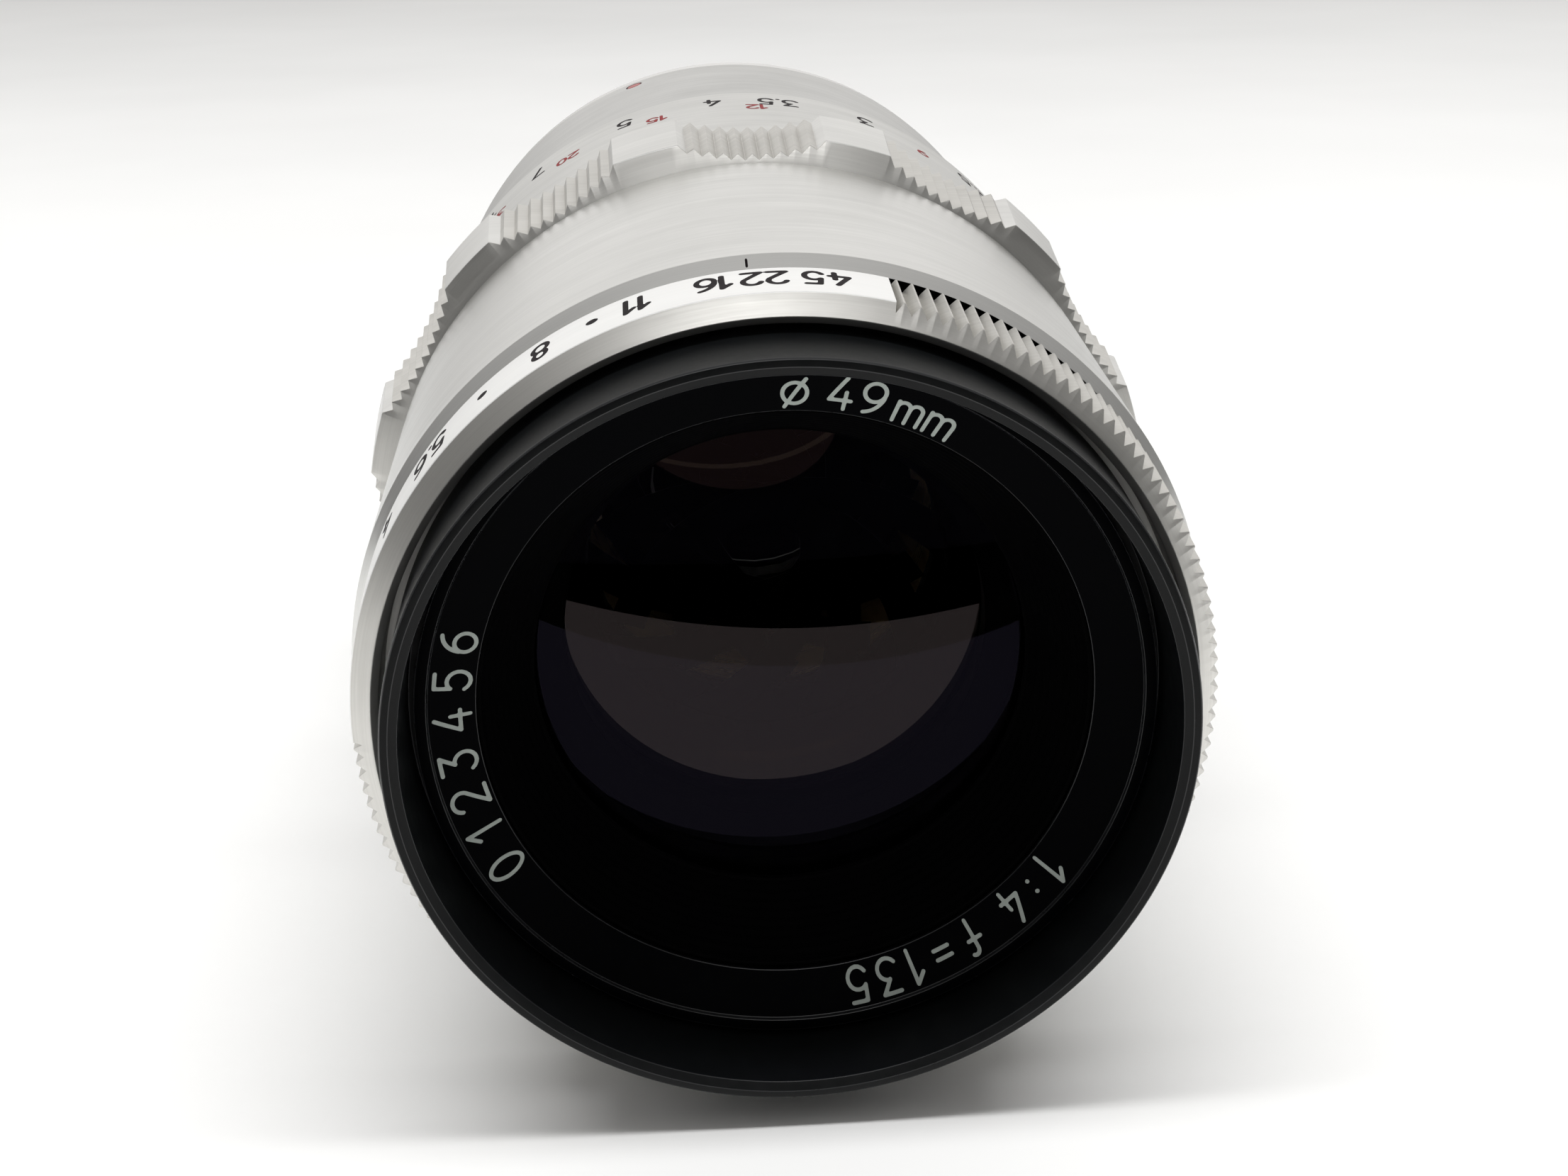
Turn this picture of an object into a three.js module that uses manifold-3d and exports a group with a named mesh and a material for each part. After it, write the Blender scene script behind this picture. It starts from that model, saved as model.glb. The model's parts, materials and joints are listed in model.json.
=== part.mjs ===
// Prime lens of 135 mm focal length for a small-format camera, lying on its side.
// Millimetres, +Z up. The optical axis runs along Y and the front of the lens faces -Y.
// A station is a distance behind the front rim. An angle is measured about the axis from the top,
// towards +X, so a point is (r sin a, station, r cos a).
// The focus ring turns in place on the rear barrel. Two keys in it turn the lens head, which
// screws forward on the helicoid. The aperture ring turns a tube that turns the iris drive ring.

import * as THREE from 'three';
import { mergeVertices } from 'three/addons/utils/BufferGeometryUtils.js';
import Module from 'manifold-3d';

// ---------- driving dimensions ----------

const LENGTH = 96.0; // front rim to the end of the mount throat
const GAP = 0.3; // room between neighbouring pieces
const FINE = 48; // facets round an outer piece
const COARSE = 32; // facets round an inner piece
const GLASS_FACETS = 24;
const SCREW_FACETS = 10;

const RIM_R = 25.5; // outside of the M49 filter ring
const RIM_INNER_R = 24.95; // inside of its flat front face
const FILTER_BORE_R = 24.35;
const NAME_OUTER_R = 23.85; // name ring: a flat lip round a dished face
const NAME_LIP_R = 23.0;
const NAME_INNER_R = 20.0;
const BAND_R = 28.0; // number band of the aperture ring
const BARREL_R = 28.5; // smooth front barrel
const LAND_R = 30.8; // lands of the focus ring, at their rear edge
const LAND_FRONT_R = 30.3;
const SLEEVE_R = 28.7; // distance scale
const REAR_R = 27.3; // rear barrel
const MOUNT_R = 27.1;
const THROAT_R = 22.0; // bayonet throat behind the flange

const APERTURE_FRONT = 5.0; // stations of the visible rings
const APERTURE_REAR = 10.8;
const BARREL_REAR = 38.9;
const GRIP_FRONT = 39.1;
const GRIP_REAR = 46.8;
const SLEEVE_REAR = 66.0;
const FLANGE = 91.0; // the face that meets the camera

const FLUTES = 12;
const FLUTE_SPAN = 20.4; // degrees
const FLUTE_PHASE = 0;
const FLUTE_EDGE_R = 30.3;
const FLUTE_FLOOR_R = 29.3;
const FLUTE_STEPS = 4;

const GUIDE_OUTER_R = 25.1; // guide tube of the head
const GUIDE_INNER_R = 23.6;
const GUIDE_REAR = 64.0;
const NUT_OUTER_R = 23.2; // fixed helicoid
const NUT_INNER_R = 20.3;
const HELICOID_R = 20.0; // moving helicoid
const TUBE_OUTER_R = 21.6; // lens tube
const TUBE_INNER_R = 20.2;
const TUBE_REAR = 46.0;
const DRIVE_OUTER_R = 22.7; // aperture drive tube
const DRIVE_INNER_R = 21.9;

const SERVICE_ANGLES = [50, 170, 290]; // screws, out of sight from above
const KEY_ANGLES = [90, 270];
const KEY_WIDTH = 3.0;

const BLADES = 10;
const BLADE_INNER_R = 14.2; // the open iris
const BLADE_OUTER_R = 17.0;
const BLADE_ARC = 125; // degrees
const PIVOT_R = 18.2;
const EAR_R = 1.2;
const PIN_R = 0.45;
const BLADE_THICKNESS = 0.12;
const BLADE_LAYER = 0.29; // each blade turns in a layer of its own
const BLADE_FRONT = 37.3; // station of the first layer
const BLADE_CLOSED = 36.2; // degrees from open to the stored setting
const IRIS_PLATE_FRONT = 40.6;
const IRIS_PLATE = 1.0;
const IRIS_DRIVE_FRONT = 35.6;
const IRIS_DRIVE = 1.4;
const LINK_STATION = 36.3; // screws between the drive tube and the iris drive ring
const LINK_R = 0.4;
const IRIS_SWING = 69; // degrees of the aperture ring from open to closed

// ---------- materials ----------

const finish = (color, roughness, metalness) =>
  new THREE.MeshStandardMaterial({ color, roughness, metalness });

const satin = finish(0xc9c9c4, 0.42, 0.9);
const polished = finish(0xd2d2ce, 0.25, 1.0);
const black = finish(0x121316, 0.45, 0.3);
const flatBlack = finish(0x0a0a0a, 0.9, 0.0);
const brass = finish(0xb08d4a, 0.4, 1.0);
const steel = finish(0x9a9a9c, 0.35, 1.0);
const blade = finish(0x22252a, 0.5, 0.8);
const enamel = finish(0xb02420, 0.35, 0.0);
const glass = new THREE.MeshStandardMaterial({
  color: 0x2c2438,
  roughness: 0.03,
  metalness: 0,
  transparent: true,
  opacity: 0.45,
});

// ---------- helpers ----------

const rad = THREE.MathUtils.degToRad;
const yOf = (station) => station - LENGTH / 2;
const lens = new THREE.Group();
const kernel = await Module();
kernel.setup();

function add(name, geometry, material) {
  const mesh = new THREE.Mesh(geometry, material);
  mesh.name = name;
  lens.add(mesh);
}

// A closed outline of [radius, station] points, turned about the axis.
function ring(outline, facets = COARSE) {
  const points = outline.map(([r, station]) => new THREE.Vector2(r, yOf(station)));
  const loop = [...points, points[0].clone()];
  if (THREE.ShapeUtils.area(points) < 0) loop.reverse();
  return new THREE.LatheGeometry(loop, facets);
}

const tube = (inner, outer, front, rear, facets = COARSE) =>
  ring([[inner, front], [outer, front], [outer, rear], [inner, rear]], facets);

// A solid whose outline of [radius, station] points starts and ends on the axis.
function turned(outline, facets = COARSE) {
  const points = outline.map(([r, station]) => new THREE.Vector2(r, yOf(station)));
  if (THREE.ShapeUtils.area(points) < 0) points.reverse();
  return new THREE.LatheGeometry(points, facets);
}

const disc = (radius, front, rear, facets = COARSE) =>
  turned([[0, front], [radius, front], [radius, rear], [0, rear]], facets);

// A flat outline in the plane across the axis, shape x = +X and shape y = +Z.
function plate(shape, front, thickness, curveSegments = 6) {
  const solid = new THREE.ExtrudeGeometry(shape, {
    depth: thickness,
    bevelEnabled: false,
    curveSegments,
  });
  return solid.rotateX(Math.PI / 2).translate(0, yOf(front) + thickness, 0);
}

const aroundAxis = (geometry, degrees) => geometry.rotateY(rad(degrees));

// A rod from one radius to another at a station and an angle.
function radialRod(radius, from, to, station, degrees, facets = SCREW_FACETS) {
  const rod = new THREE.CylinderGeometry(radius, radius, to - from, facets);
  rod.rotateX(Math.PI / 2).translate(0, yOf(station), (from + to) / 2);
  return aroundAxis(rod, degrees);
}

// A rod along the axis' direction at a radius and an angle.
function axialRod(radius, front, rear, offset, degrees, facets = SCREW_FACETS) {
  const rod = new THREE.CylinderGeometry(radius, radius, rear - front, facets);
  rod.translate(0, yOf((front + rear) / 2), offset);
  return aroundAxis(rod, degrees);
}

// A block at an angle: width across, and between two radii and two stations.
function block(width, from, to, front, rear, degrees) {
  const box = new THREE.BoxGeometry(width, rear - front, to - from);
  box.translate(0, yOf((front + rear) / 2), (from + to) / 2);
  return aroundAxis(box, degrees);
}

// A part of a flat ring between two angles, as a cutter or a lug.
function sector(inner, outer, front, rear, fromDegrees, toDegrees, steps = 10) {
  const shape = new THREE.Shape();
  const spot = (r, k) => {
    const angle = rad(fromDegrees + ((toDegrees - fromDegrees) * k) / steps);
    return [r * Math.sin(angle), r * Math.cos(angle)];
  };
  shape.moveTo(...spot(inner, 0));
  for (let k = 0; k <= steps; k += 1) shape.lineTo(...spot(outer, k));
  for (let k = steps; k > 0; k -= 1) shape.lineTo(...spot(inner, k));
  return plate(shape, front, rear - front);
}

function solidOf(geometry) {
  const bare = geometry.clone();
  bare.deleteAttribute('normal');
  bare.deleteAttribute('uv');
  const merged = mergeVertices(bare, 1e-5);
  const index = merged.index.array;
  const faces = [];
  for (let k = 0; k < index.length; k += 3) {
    const [a, b, c] = [index[k], index[k + 1], index[k + 2]];
    if (a !== b && b !== c && c !== a) faces.push(a, b, c);
  }
  return new kernel.Manifold(new kernel.Mesh({
    numProp: 3,
    vertProperties: new Float32Array(merged.attributes.position.array),
    triVerts: new Uint32Array(faces),
  }));
}

function geometryOf(solid) {
  const mesh = solid.getMesh();
  const geometry = new THREE.BufferGeometry();
  geometry.setAttribute('position', new THREE.BufferAttribute(mesh.vertProperties, 3));
  geometry.setIndex(new THREE.BufferAttribute(mesh.triVerts, 1));
  geometry.computeVertexNormals();
  return geometry;
}

const cut = (geometry, ...cutters) =>
  geometryOf(cutters.reduce((solid, cutter) => solid.subtract(solidOf(cutter)), solidOf(geometry)));

const join = (geometry, ...pieces) =>
  geometryOf(pieces.reduce((solid, piece) => solid.add(solidOf(piece)), solidOf(geometry)));

// ---------- rear body: rear barrel, fixed helicoid and mount ----------

const BARREL_BORE_R = 25.4;
const REAR_BARREL_FRONT = 43.0;
const REAR_BARREL_REAR = 88.5;
const WEB_FRONT = 84.5;
const WEB_BORE_R = 21.0;
const STOP_LUG = 60; // degrees of the lug that stops the focus ring
const STOP_LUG_ANGLE = 216; // clear of the stop screw at both ends of its 288 degrees
const STOP_SCREW_ANGLE = 180;
const STOP_SCREW_PITCH_R = 26.4;
const STOP_DEPTH = 2.2;
const GROOVE_FRONT = 55.0; // groove for the guide screws of the focus ring
const GROOVE_REAR = 57.4;
const GROOVE_R = 26.4;
const SET_SCREW_STATION = 68.0;
const SET_SCREW_R = 0.9;
const MOUNT_SCREW_R = 1.0;
const MOUNT_SCREW_HEAD_R = 1.9;
const MOUNT_SCREW_PITCH_R = 24.6;
const MOUNT_SCREW_ANGLES = [45, 135, 225, 315];
const DOT_ANGLE = -18.7;
const DOT_STATION = 87.0;
const DOT_R = 0.8;
const LUG_OUTER_R = 24.0; // bayonet lugs
const LUG_SPAN = 50; // degrees

function buildRearBody() {
  const shell = ring([
    [BARREL_BORE_R, REAR_BARREL_FRONT],
    [REAR_R, REAR_BARREL_FRONT],
    [REAR_R, GROOVE_FRONT],
    [GROOVE_R, GROOVE_FRONT],
    [GROOVE_R, GROOVE_REAR],
    [REAR_R, GROOVE_REAR],
    [REAR_R, REAR_BARREL_REAR],
    [WEB_BORE_R, REAR_BARREL_REAR],
    [WEB_BORE_R, WEB_FRONT],
    [BARREL_BORE_R, WEB_FRONT],
  ], FINE);
  const lugRoom = sector(
    BARREL_BORE_R - 1, REAR_R + 1,
    REAR_BARREL_FRONT - 1, REAR_BARREL_FRONT + STOP_DEPTH,
    STOP_LUG_ANGLE + STOP_LUG / 2, STOP_LUG_ANGLE + 360 - STOP_LUG / 2, 40,
  );
  const holes = SERVICE_ANGLES.map((angle) =>
    radialRod(SET_SCREW_R + GAP, 25, 28, SET_SCREW_STATION, angle));
  const tapped = MOUNT_SCREW_ANGLES.map((angle) =>
    axialRod(MOUNT_SCREW_R + GAP, 85.6, 89, MOUNT_SCREW_PITCH_R, angle));
  const dotSeat = radialRod(DOT_R + GAP / 2, 26.5, 28, DOT_STATION, DOT_ANGLE);
  add('rear_barrel', cut(shell, lugRoom, ...holes, ...tapped, dotSeat), satin);
  add('mount_index_dot', radialRod(DOT_R, 26.8, REAR_R, DOT_STATION, DOT_ANGLE), enamel);

  const nut = ring([
    [NUT_INNER_R, 48],
    [NUT_OUTER_R, 48],
    [NUT_OUTER_R, 66],
    [BARREL_BORE_R - GAP / 2, 66],
    [BARREL_BORE_R - GAP / 2, 70],
    [NUT_INNER_R, 70],
  ]);
  const seats = SERVICE_ANGLES.map((angle) =>
    radialRod(SET_SCREW_R + GAP, 23.7, 26, SET_SCREW_STATION, angle));
  add('helicoid_nut', cut(nut, ...seats), brass);
  SERVICE_ANGLES.forEach((angle, k) => {
    add(`helicoid_set_screw_${k + 1}`,
      radialRod(SET_SCREW_R, 24.0, REAR_R - 0.2, SET_SCREW_STATION, angle), steel);
  });

  const plateRing = ring([
    [THROAT_R - 2, 88.8],
    [MOUNT_R, 88.8],
    [MOUNT_R, FLANGE],
    [THROAT_R, FLANGE],
    [THROAT_R, LENGTH],
    [THROAT_R - 2, LENGTH],
  ], FINE);
  const lugs = [0, 120, 240].map((angle) =>
    sector(THROAT_R - 0.5, LUG_OUTER_R, 93.2, 94.8, angle - LUG_SPAN / 2, angle + LUG_SPAN / 2, 6));
  const countersinks = MOUNT_SCREW_ANGLES.flatMap((angle) => [
    axialRod(MOUNT_SCREW_R + GAP, 88, 92, MOUNT_SCREW_PITCH_R, angle),
    axialRod(MOUNT_SCREW_HEAD_R + 0.15, 90.0, 92, MOUNT_SCREW_PITCH_R, angle),
  ]);
  add('mount_ring', cut(join(plateRing, ...lugs), ...countersinks), polished);
  MOUNT_SCREW_ANGLES.forEach((angle, k) => {
    const screw = turned([
      [0, 86.0],
      [MOUNT_SCREW_R, 86.0],
      [MOUNT_SCREW_R, 90.2],
      [MOUNT_SCREW_HEAD_R, 90.2],
      [MOUNT_SCREW_HEAD_R, 90.9],
      [0, 90.9],
    ], SCREW_FACETS);
    add(`mount_screw_${k + 1}`,
      aroundAxis(screw.translate(0, 0, MOUNT_SCREW_PITCH_R), angle), steel);
  });

  add('rear_baffle', ring([
    [18.2, 79],
    [19.6, 79],
    [19.6, 95.2],
    [16.2, 95.2],
    [16.2, 94.2],
    [18.2, 92.2],
  ]), flatBlack);
}

// ---------- focus group: grip, distance scale, keys and screws ----------

const WEB_REAR = 42.3;
const NECK_R = 28.3;
const SLEEVE_BORE_R = 27.55;
const KEY_FRONT = 39.8;
const KEY_REAR = 41.8;
const STOP_PIN_R = 1.0;

// The outline of the grip across the axis: lands on the land circle, and hollow flutes between.
function gripOutline(landR, edgeR, floorR) {
  const shape = new THREE.Shape();
  const pitch = 360 / FLUTES;
  const spot = (r, degrees) => [r * Math.sin(rad(degrees)), r * Math.cos(rad(degrees))];
  for (let k = 0; k < FLUTES; k += 1) {
    const middle = FLUTE_PHASE + k * pitch;
    if (k === 0) shape.moveTo(...spot(landR, middle - FLUTE_SPAN / 2));
    else shape.lineTo(...spot(landR, middle - FLUTE_SPAN / 2));
    for (let step = 0; step <= FLUTE_STEPS; step += 1) {
      const across = (2 * step) / FLUTE_STEPS - 1;
      const r = floorR + (edgeR - floorR) * across * across;
      shape.lineTo(...spot(r, middle + (across * FLUTE_SPAN) / 2));
    }
    shape.lineTo(...spot(landR, middle + FLUTE_SPAN / 2));
    shape.lineTo(...spot(landR, middle + pitch / 2));
  }
  return shape;
}

// Narrows a solid evenly about the axis, from its rear station to a share of its size at the front.
function tapered(geometry, front, rear, share) {
  const place = geometry.attributes.position;
  for (let k = 0; k < place.count; k += 1) {
    const back = (place.getY(k) - yOf(front)) / (rear - front);
    const scale = share + (1 - share) * back;
    place.setX(k, place.getX(k) * scale);
    place.setZ(k, place.getZ(k) * scale);
  }
  return geometry;
}

function buildFocusGroup() {
  const straight = plate(gripOutline(LAND_R, FLUTE_EDGE_R, FLUTE_FLOOR_R),
    GRIP_FRONT, GRIP_REAR - GRIP_FRONT);
  const blank = tapered(straight, GRIP_FRONT, GRIP_REAR, LAND_FRONT_R / LAND_R);
  const bore = disc(BARREL_BORE_R, GRIP_FRONT - 1, GRIP_REAR + 1, FINE);
  const counterbore = tube(BARREL_BORE_R - 1, NECK_R + 0.15, WEB_REAR, GRIP_REAR + 1, FINE);
  const frontCone = ring([
    [27.9, GRIP_FRONT - 1],
    [LAND_R + 2, GRIP_FRONT - 1],
    [LAND_R + 2, 40.3],
    [LAND_FRONT_R, 39.6],
    [27.9, GRIP_FRONT - 0.05],
  ], FINE);
  const keyways = KEY_ANGLES.map((angle) =>
    block(KEY_WIDTH + GAP, 24, 28.1, KEY_FRONT - 0.15, KEY_REAR + 0.15, angle));
  const pinHole = axialRod(STOP_PIN_R + GAP / 2, 41.0, 43,
    STOP_SCREW_PITCH_R, STOP_SCREW_ANGLE);
  add('focus_ring', cut(blank, bore, counterbore, frontCone, ...keyways, pinHole), satin);
  KEY_ANGLES.forEach((angle, k) => {
    add(`drive_key_${k + 1}`,
      block(KEY_WIDTH, 23.9, 27.9, KEY_FRONT, KEY_REAR, angle), brass);
  });
  add('focus_stop_screw',
    axialRod(STOP_PIN_R, 41.2, 44.9, STOP_SCREW_PITCH_R, STOP_SCREW_ANGLE), steel);

  const sleeve = ring([
    [SLEEVE_BORE_R, WEB_REAR + 0.2],
    [NECK_R, WEB_REAR + 0.2],
    [NECK_R, GRIP_REAR + 0.15],
    [SLEEVE_R, GRIP_REAR + 0.15],
    [SLEEVE_R, SLEEVE_REAR],
    [SLEEVE_BORE_R, SLEEVE_REAR],
  ], FINE);
  const screwStation = (GROOVE_FRONT + GROOVE_REAR) / 2;
  const holes = SERVICE_ANGLES.map((angle) =>
    radialRod(SET_SCREW_R + 0.15, 27, 30, screwStation, angle));
  add('distance_scale_sleeve', cut(sleeve, ...holes), satin);
  SERVICE_ANGLES.forEach((angle, k) => {
    add(`focus_guide_screw_${k + 1}`,
      radialRod(SET_SCREW_R, GROOVE_R + 0.2, SLEEVE_R - 0.1, screwStation, angle), steel);
  });
}

// ---------- lens head: barrels, tubes, rings and glass ----------

const TUBE_FRONT = 7.3;
const BARREL_BORE = 26.9;
const DETENT_ANGLE = 180;
const DETENT_R = 25.4;
const BALL_R = 0.6;
const BARREL_WEB_FRONT = 11.2;
const BARREL_WEB_REAR = 14.8;
const IRIS_SLOT_FRONT = 35.5;
const IRIS_SLOT_REAR = 37.2;
const LINK_ANGLES = [60, 240];

function buildHeadShell() {
  const barrel = ring([
    [23.2, BARREL_WEB_FRONT],
    [26.6, BARREL_WEB_FRONT],
    [26.6, 12.6],
    [27.75, 12.6],
    [27.75, 11.62],
    [BARREL_R, 12.5],
    [BARREL_R, BARREL_REAR],
    [BARREL_BORE, BARREL_REAR],
    [BARREL_BORE, BARREL_WEB_REAR],
    [23.2, BARREL_WEB_REAR],
  ], FINE);
  const detentHole = axialRod(BALL_R + 0.15, 10, 14.0, DETENT_R, DETENT_ANGLE);
  add('front_barrel', cut(barrel, detentHole), satin);

  const guide = ring([
    [GUIDE_INNER_R, 15.1],
    [BARREL_BORE - 0.2, 15.1],
    [BARREL_BORE - 0.2, 18.0],
    [GUIDE_OUTER_R, 18.0],
    [GUIDE_OUTER_R, GUIDE_REAR],
    [GUIDE_INNER_R, GUIDE_REAR],
    [GUIDE_INNER_R, 44.0],
    [TUBE_OUTER_R + 0.2, 44.0],
    [TUBE_OUTER_R + 0.2, 41.0],
    [GUIDE_INNER_R, 41.0],
  ]);
  const slots = KEY_ANGLES.map((angle) =>
    block(KEY_WIDTH + GAP, 23.0, 26, KEY_FRONT - 0.5, GUIDE_REAR + 1, angle));
  add('guide_tube', cut(guide, ...slots), satin);

  const lensTube = tube(TUBE_INNER_R, TUBE_OUTER_R, TUBE_FRONT, TUBE_REAR);
  const linkSlots = LINK_ANGLES.map((angle) =>
    sector(TUBE_INNER_R - 1, TUBE_OUTER_R + 1, IRIS_SLOT_FRONT, IRIS_SLOT_REAR,
      angle - 15, angle + IRIS_SWING));
  add('lens_tube', cut(lensTube, ...linkSlots), flatBlack);
  add('helicoid_tube', ring([
    [17.2, 46.4],
    [HELICOID_R, 46.4],
    [HELICOID_R, 76],
    [17.2, 76],
  ]), brass);

  add('filter_ring', ring([
    [FILTER_BORE_R, 0.3],
    [RIM_INNER_R, 0],
    [RIM_R - 0.1, 0],
    [RIM_R, 0.15],
    [RIM_R, 8.5],
    [TUBE_OUTER_R + 0.2, 8.5],
    [TUBE_OUTER_R + 0.2, 7.4],
    [FILTER_BORE_R, 7.4],
  ], FINE), black);
  add('name_ring', ring([
    [NAME_INNER_R, 7.0],
    [NAME_LIP_R, 5.7],
    [NAME_LIP_R + 0.1, 5.5],
    [NAME_OUTER_R - 0.1, 5.5],
    [NAME_OUTER_R, 5.6],
    [NAME_OUTER_R, 7.2],
    [NAME_INNER_R, 7.2],
  ], FINE), black);
}

function buildDetent() {
  const ball = new THREE.SphereGeometry(BALL_R, SCREW_FACETS, 6);
  ball.translate(0, yOf(11.25), DETENT_R);
  add('detent_ball', aroundAxis(ball, DETENT_ANGLE), steel);
  const turns = 4;
  const wire = new THREE.Curve();
  wire.getPoint = (t) => {
    const angle = 2 * Math.PI * turns * t;
    return new THREE.Vector3(
      0.42 * Math.sin(angle),
      yOf(12.1 + 1.7 * t),
      DETENT_R + 0.42 * Math.cos(angle),
    );
  };
  const section = new THREE.Shape();
  section.absarc(0, 0, 0.1, 0, 2 * Math.PI);
  const spring = new THREE.ExtrudeGeometry(section, {
    steps: 6 * turns,
    curveSegments: 2,
    extrudePath: wire,
  });
  add('detent_spring', aroundAxis(spring, DETENT_ANGLE), steel);
}

// A glass element: two spherical faces given by their sag (positive bulges forward).
function element(radius, frontEdge, frontSag, rearEdge, rearSag) {
  const steps = 3;
  const face = (edge, sag) => Array.from({ length: steps + 1 }, (_, k) => {
    const r = (radius * k) / steps;
    return [r, edge - sag * (1 - (r / radius) ** 2)];
  });
  return turned([...face(frontEdge, frontSag), ...face(rearEdge, rearSag).reverse()], GLASS_FACETS);
}

function buildOptics() {
  add('front_retaining_ring', ring([
    [19.8, 7.5],
    [20.0, 7.5],
    [20.0, 13.9],
    [16.6, 13.9],
    [16.6, 13.5],
  ]), flatBlack);
  add('front_lens', element(19.8, 14.7, 1.4, 17.2, 0.4), glass);
  add('spacer_ring', tube(18.0, 20.0, 17.5, 20.2), flatBlack);
  add('doublet_cell', ring([
    [17.4, 20.5],
    [20.0, 20.5],
    [20.0, 35.2],
    [13.6, 35.2],
    [13.6, 34.2],
    [17.4, 34.2],
  ]), flatBlack);
  add('doublet_front_lens', element(17.1, 23.6, 0.5, 27.0, -0.8), glass);
  add('doublet_rear_lens', element(17.1, 27.2, -0.8, 33.8, 2.6), glass);
  add('doublet_retaining_ring', tube(14.5, 17.1, 20.6, 23.0, GLASS_FACETS), flatBlack);
  add('rear_cell', ring([
    [12.7, 58.5],
    [16.9, 58.5],
    [16.9, 68],
    [11.2, 68],
    [11.2, 67],
    [12.7, 67],
  ]), flatBlack);
  add('rear_lens', element(12.5, 62.4, 1.4, 66.6, -0.9), glass);
  add('rear_retaining_ring', tube(11.2, 12.5, 59.2, 61.9, GLASS_FACETS), flatBlack);
}

// ---------- aperture group ----------

function buildApertureGroup() {
  const flangeBore = DRIVE_OUTER_R + 0.15;
  const ringSolid = ring([
    [26.0, 5.4],
    [26.5, APERTURE_FRONT],
    [27.85, 5.8],
    [BAND_R, APERTURE_REAR],
    [26.6, APERTURE_REAR],
    [26.2, 10.5],
    [flangeBore, 10.5],
    [flangeBore, 8.8],
    [26.0, 8.8],
  ], FINE);
  const screwHoles = KEY_ANGLES.map((angle) => radialRod(0.75, 22, 25.4, 9.65, angle, 8));
  add('aperture_ring', cut(ringSolid, ...screwHoles), satin);
  const drive = tube(DRIVE_INNER_R, DRIVE_OUTER_R, 8.8, 38.3);
  const linkHoles = LINK_ANGLES.map((angle) =>
    radialRod(LINK_R + 0.1, 21, 24, LINK_STATION, angle, 8));
  const pinHoles = KEY_ANGLES.map((angle) => radialRod(0.75, 21, 24, 9.65, angle, 8));
  add('aperture_drive_tube', cut(drive, ...linkHoles, ...pinHoles), brass);
  KEY_ANGLES.forEach((angle, k) => {
    add(`aperture_ring_screw_${k + 1}`, radialRod(0.6, 22.0, 25.2, 9.65, angle, 8), steel);
  });
  LINK_ANGLES.forEach((angle, k) => {
    add(`iris_drive_screw_${k + 1}`, radialRod(LINK_R, 19.3, 22.9, LINK_STATION, angle, 8), steel);
  });

  const face = new THREE.Shape();
  face.absarc(0, 0, 20.0, 0, 2 * Math.PI);
  const eye = new THREE.Path();
  eye.absarc(0, 0, 15.0, 0, 2 * Math.PI);
  face.holes.push(eye);
  for (let k = 0; k < BLADES; k += 1) {
    const slot = new THREE.Path();
    const angle = (2 * Math.PI * (k + 0.5)) / BLADES;
    const across = new THREE.Vector2(-Math.sin(angle), Math.cos(angle)).multiplyScalar(0.6);
    const along = new THREE.Vector2(Math.cos(angle), Math.sin(angle));
    const inner = along.clone().multiplyScalar(15.8);
    const outer = along.clone().multiplyScalar(18.6);
    slot.setFromPoints([
      inner.clone().sub(across),
      inner.clone().add(across),
      outer.clone().add(across),
      outer.clone().sub(across),
    ]);
    face.holes.push(slot);
  }
  const driveRing = plate(face, IRIS_DRIVE_FRONT, IRIS_DRIVE, 16);
  const tapped = LINK_ANGLES.map((angle) =>
    radialRod(LINK_R + 0.1, 19.0, 21, LINK_STATION, angle, 8));
  add('iris_drive_ring', cut(driveRing, ...tapped), flatBlack);
}

// ---------- iris ----------

// A sickle blade, open, with its pivot on shape +X: it reaches round the opening from there.
function bladeShape() {
  const shape = new THREE.Shape();
  const end = rad(BLADE_ARC);
  const start = rad(6);
  shape.absarc(0, 0, BLADE_OUTER_R, start, end, false);
  shape.absarc(0, 0, BLADE_INNER_R, end, -start, true);
  shape.absarc(PIVOT_R, 0, EAR_R, rad(-100), rad(80), false);
  return shape;
}

function buildIris() {
  const holes = [];
  for (let k = 0; k < BLADES; k += 1) {
    const bearing = (360 / BLADES) * k;
    const front = BLADE_FRONT + BLADE_LAYER * k;
    const leaf = plate(bladeShape(), front, BLADE_THICKNESS, 4);
    const pin = new THREE.CylinderGeometry(PIN_R, PIN_R, 41.3 - front - 0.05, 8);
    pin.translate(PIVOT_R, yOf((front + 0.05 + 41.3) / 2), 0);
    const whole = join(leaf, pin);
    whole.translate(-PIVOT_R, 0, 0).rotateY(-rad(BLADE_CLOSED)).translate(PIVOT_R, 0, 0);
    add(`iris_blade_${String(k + 1).padStart(2, '0')}`, aroundAxis(whole, bearing), blade);
    holes.push(aroundAxis(
      new THREE.CylinderGeometry(PIN_R + 0.2, PIN_R + 0.2, 4, 8).translate(PIVOT_R, yOf(41), 0),
      bearing,
    ));
  }
  const base = tube(14.6, 20.0, IRIS_PLATE_FRONT, IRIS_PLATE_FRONT + IRIS_PLATE);
  add('iris_base_plate', cut(base, ...holes), flatBlack);
}

buildRearBody();
buildFocusGroup();
buildHeadShell();
buildDetent();
buildOptics();
buildApertureGroup();
buildIris();

// Stand the lens on its lowest point.
lens.position.z = -new THREE.Box3().setFromObject(lens, true).min.z;

export default lens;
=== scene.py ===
"""Fine meshes, materials, floor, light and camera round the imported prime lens.

The helpers work in millimetres. A station is a distance behind the front rim, along +Y. An angle is
measured about the optical axis from the top, towards +X, in degrees. An outline is a list of
[radius, station] points.
"""

import json
import math

import bmesh
import bpy
import numpy as np
from mathutils import Matrix, Vector


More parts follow.
